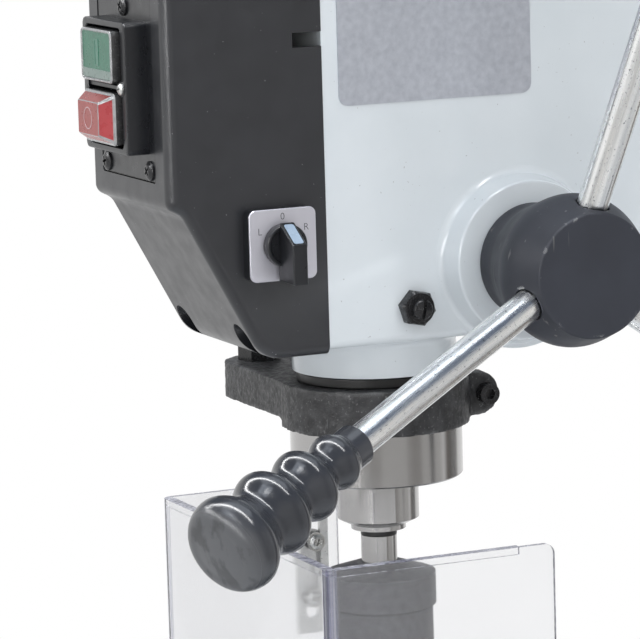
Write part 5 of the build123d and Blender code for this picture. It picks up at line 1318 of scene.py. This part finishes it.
def selector_knob():
    """The round base, the blade that the fingers turn and the pale pointer on the blade's slope."""
    place = facing_right(knob_top - blade_reach * mm, selector_y, selector_z)
    dish = knob_base - knob_dish_depth
    disc = turned("knob_disc", rounded((
        (0, 0), (knob_r, 0), (knob_r, knob_base, knob_edge), (knob_r - knob_ring, knob_base, knob_ring_edge),
        (knob_r - knob_dish, dish), (0, dish),
    )), place, knob_round)
    dress(disc, "black_plastic", "selector", "black_plastic", "selector_knob")
    outline = [Vector((out, up)) * mm for out, up in blade_outline]
    stand = Matrix(((0, 0, 1, 0), (0, 1, 0, 0), (-1, 0, 0, 0), (0, 0, 0, 1))).inverted()
    blade = slab("knob_blade", outline, blade_width, place @ stand, blade_edge)
    dress(blade, "black_plastic", "selector", "black_plastic", "selector_knob")
    top, foot = outline[1:3]
    slope = foot - top
    middle = (top + foot) / 2
    tilt = along((0, middle.y, middle.x), (0, slope.x, -slope.y))
    width = blade_width - 2 * pointer_border
    length = slope.length - 2 * pointer_border
    pointer = tiers("knob_pointer", (
        (width, length, pointer_corner, -pointer_sink), (width, length, pointer_corner, pointer_height),
    ), place @ tilt)
    dress(pointer, "pointer_blue", "selector", "black_plastic", "selector_knob")


selector()
selector_knob()


# Guide screw and its lock nut on the side of the head
def guide_nut():
    low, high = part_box("guide_nut")
    height = high.x - low.x
    place = facing_right(head_side, (low.y + high.y) / 2, (low.z + high.z) / 2)
    corner = hex_corner(guide_across)
    nut = hex_nut("guide_nut_cut", guide_across, (
        (corner, 0), (corner, height - guide_nut_edge), (guide_nut_top_r, height),
    ), place @ spun(guide_nut_turn))
    dress(nut, "black_steel", "frame", "black_steel", "guide_nut")
    ring = flat_ring("guide_ring", guide_ring_r, guide_screw_r, guide_ring_height, place @ raised(height))
    dress(ring, "black_steel", "frame", "black_steel", "guide_nut")
    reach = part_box("guide_screw")[1].x - head_side
    screw = turned("guide_screw_domed", rounded((
        (0, 0), (guide_screw_r, 0), (guide_screw_r, reach - guide_screw_bend, guide_screw_round),
        (0, reach + guide_screw_dome),
    )), place, small_round)
    slot = tiers("slot", (
        (slot_length, slot_width, slot_corner, reach - slot_depth),
        (slot_length, slot_width, slot_corner, reach + slot_over),
    ), place @ spun(slot_turn))
    cut(screw, slot)
    dress(screw, "black_steel", "frame", "black_steel", "guide_screw")


guide_nut()


# Stage: pale floor, white surroundings, soft lamps and the camera
def pale_floor():
    bm = bmesh.new()
    bmesh.ops.create_circle(bm, cap_ends=True, radius=floor_radius, segments=floor_round)
    floor = piece("floor", bm, raised(-floor_drop))
    finish = Finish("floor_paper")
    finish.set(Base_Color=floor_colour, Roughness=floor_roughness)
    far = finish.node("VectorMath", {0: finish.place}, operation="LENGTH").outputs["Value"]
    away = finish.spread(far, 0, 1, *floor_fade)
    straight, reflected = finish.rays()
    share = finish.math("MULTIPLY", finish.math("ADD", straight, reflected), away)
    colour = finish.between(straight, finish.card_bands(), white)
    bright = finish.node("Emission", {"Color": colour, "Strength": 1.0}).outputs[0]
    mixed = finish.node("MixShader", {0: share, 1: finish.shader.outputs[0], 2: bright}).outputs[0]
    finish.links.new(mixed, finish.nodes["Material Output"].inputs["Surface"])
    floor.data.materials.append(finish.made)


def white_surroundings():
    world = bpy.data.worlds.new("surroundings")
    world.use_nodes = True
    bpy.context.scene.world = world
    world.node_tree.nodes.clear()
    sky = Wiring(world.node_tree, "Generated")
    straight, reflected = sky.rays()
    height = sky.node("SeparateXYZ", {"Vector": sky.place}).outputs[2]
    ceiling = sky.between(sky.spread(height, 0, 1, *ceiling_fade), sky.card_bands(), ceiling_colour)
    room = sky.node("Background", {"Color": room_colour, "Strength": room_strength}).outputs[0]
    mirrored = sky.node("Background", {"Color": ceiling, "Strength": 1.0}).outputs[0]
    backdrop = sky.node("Background", {"Color": (*white, 1), "Strength": 1.0}).outputs[0]
    lit = sky.node("MixShader", {0: reflected, 1: room, 2: mirrored}).outputs[0]
    seen = sky.node("MixShader", {0: straight, 1: lit, 2: backdrop}).outputs[0]
    sky.links.new(seen, sky.node("OutputWorld", {}).inputs["Surface"])


def area_lamp(name, width, height, power, place):
    """A rectangular lamp that shines down its place's Z axis."""
    data = bpy.data.lights.new(name, "AREA")
    data.shape = "RECTANGLE"
    data.size = width
    data.size_y = height
    data.energy = power
    lamp = bpy.data.objects.new(name, data)
    lamp.matrix_world = place
    bpy.context.scene.collection.objects.link(lamp)
    return lamp


lamp_aim = Vector((0, spindle_y, quill_bottom + lamp_aim_rise))


def soft_lamp(name, azimuth, elevation, distance, width, height, power, colour=white, mirrored=False):
    """A broad lamp that faces the head from the given side."""
    back = direction(azimuth, elevation)
    lamp = area_lamp(name, width, height, power, along(lamp_aim + back * distance, back))
    lamp.data.color = colour
    lamp.visible_glossy = mirrored


def strip_lamp(name, first, last, width, power):
    """A thin straight lamp between two directions, each (azimuth, elevation), that shows in reflections."""
    start = direction(*first) * strip_distance
    end = direction(*last) * strip_distance
    middle = (start + end) / 2
    run = end - start
    way = run.normalized()
    out = (middle - way * middle.dot(way)).normalized()
    place = Matrix((way, out.cross(way), out)).transposed().to_4x4()
    place.translation = lamp_aim + middle
    lamp = area_lamp(name, run.length, width, power, place)
    lamp.visible_diffuse = False


def photo_camera():
    level = direction(camera_azimuth + 90, 0)
    back = direction(camera_azimuth, camera_elevation)
    rise = back.cross(level)
    roll = math.radians(camera_roll)
    right = level * math.cos(roll) + rise * math.sin(roll)
    up = rise * math.cos(roll) - level * math.sin(roll)
    data = bpy.data.cameras.new("camera")
    data.lens = camera_lens
    data.sensor_width = camera_sensor
    data.clip_start = camera_near
    data.clip_end = camera_far
    camera = bpy.data.objects.new("camera", data)
    bpy.context.scene.collection.objects.link(camera)
    place = Matrix((right, up, back)).transposed().to_4x4()
    aim = Vector((0, spindle_y, quill_bottom))
    place.translation = aim + back * camera_distance - right * camera_left + up * camera_up
    camera.matrix_world = place
    bpy.context.scene.camera = camera


pale_floor()
white_surroundings()
soft_lamp("key_lamp", azimuth=25.0, elevation=50.0, distance=2.4, width=1.2, height=0.6, power=8.0,
          colour=key_blue, mirrored=True)
soft_lamp("side_lamp", azimuth=115.0, elevation=35.0, distance=2.6, width=1.0, height=1.0, power=14.0)
soft_lamp("fill_lamp", azimuth=72.0, elevation=6.0, distance=2.6, width=2.0, height=1.0, power=15.0)
soft_lamp("top_lamp", azimuth=66.0, elevation=86.0, distance=2.1, width=2.6, height=1.5, power=26.0,
          colour=top_blue, mirrored=True)
strip_lamp("strip_lamp_1", first=(-51.0, 30.0), last=(103.0, 39.0), width=0.10, power=30.0)
strip_lamp("strip_lamp_2", first=(-51.0, 30.0), last=(51.0, -2.0), width=0.10, power=20.0)
strip_lamp("strip_lamp_3", first=(28.0, 50.0), last=(58.0, 30.0), width=0.05, power=4.0)
photo_camera()
bpy.context.scene.view_settings.view_transform = "Standard"
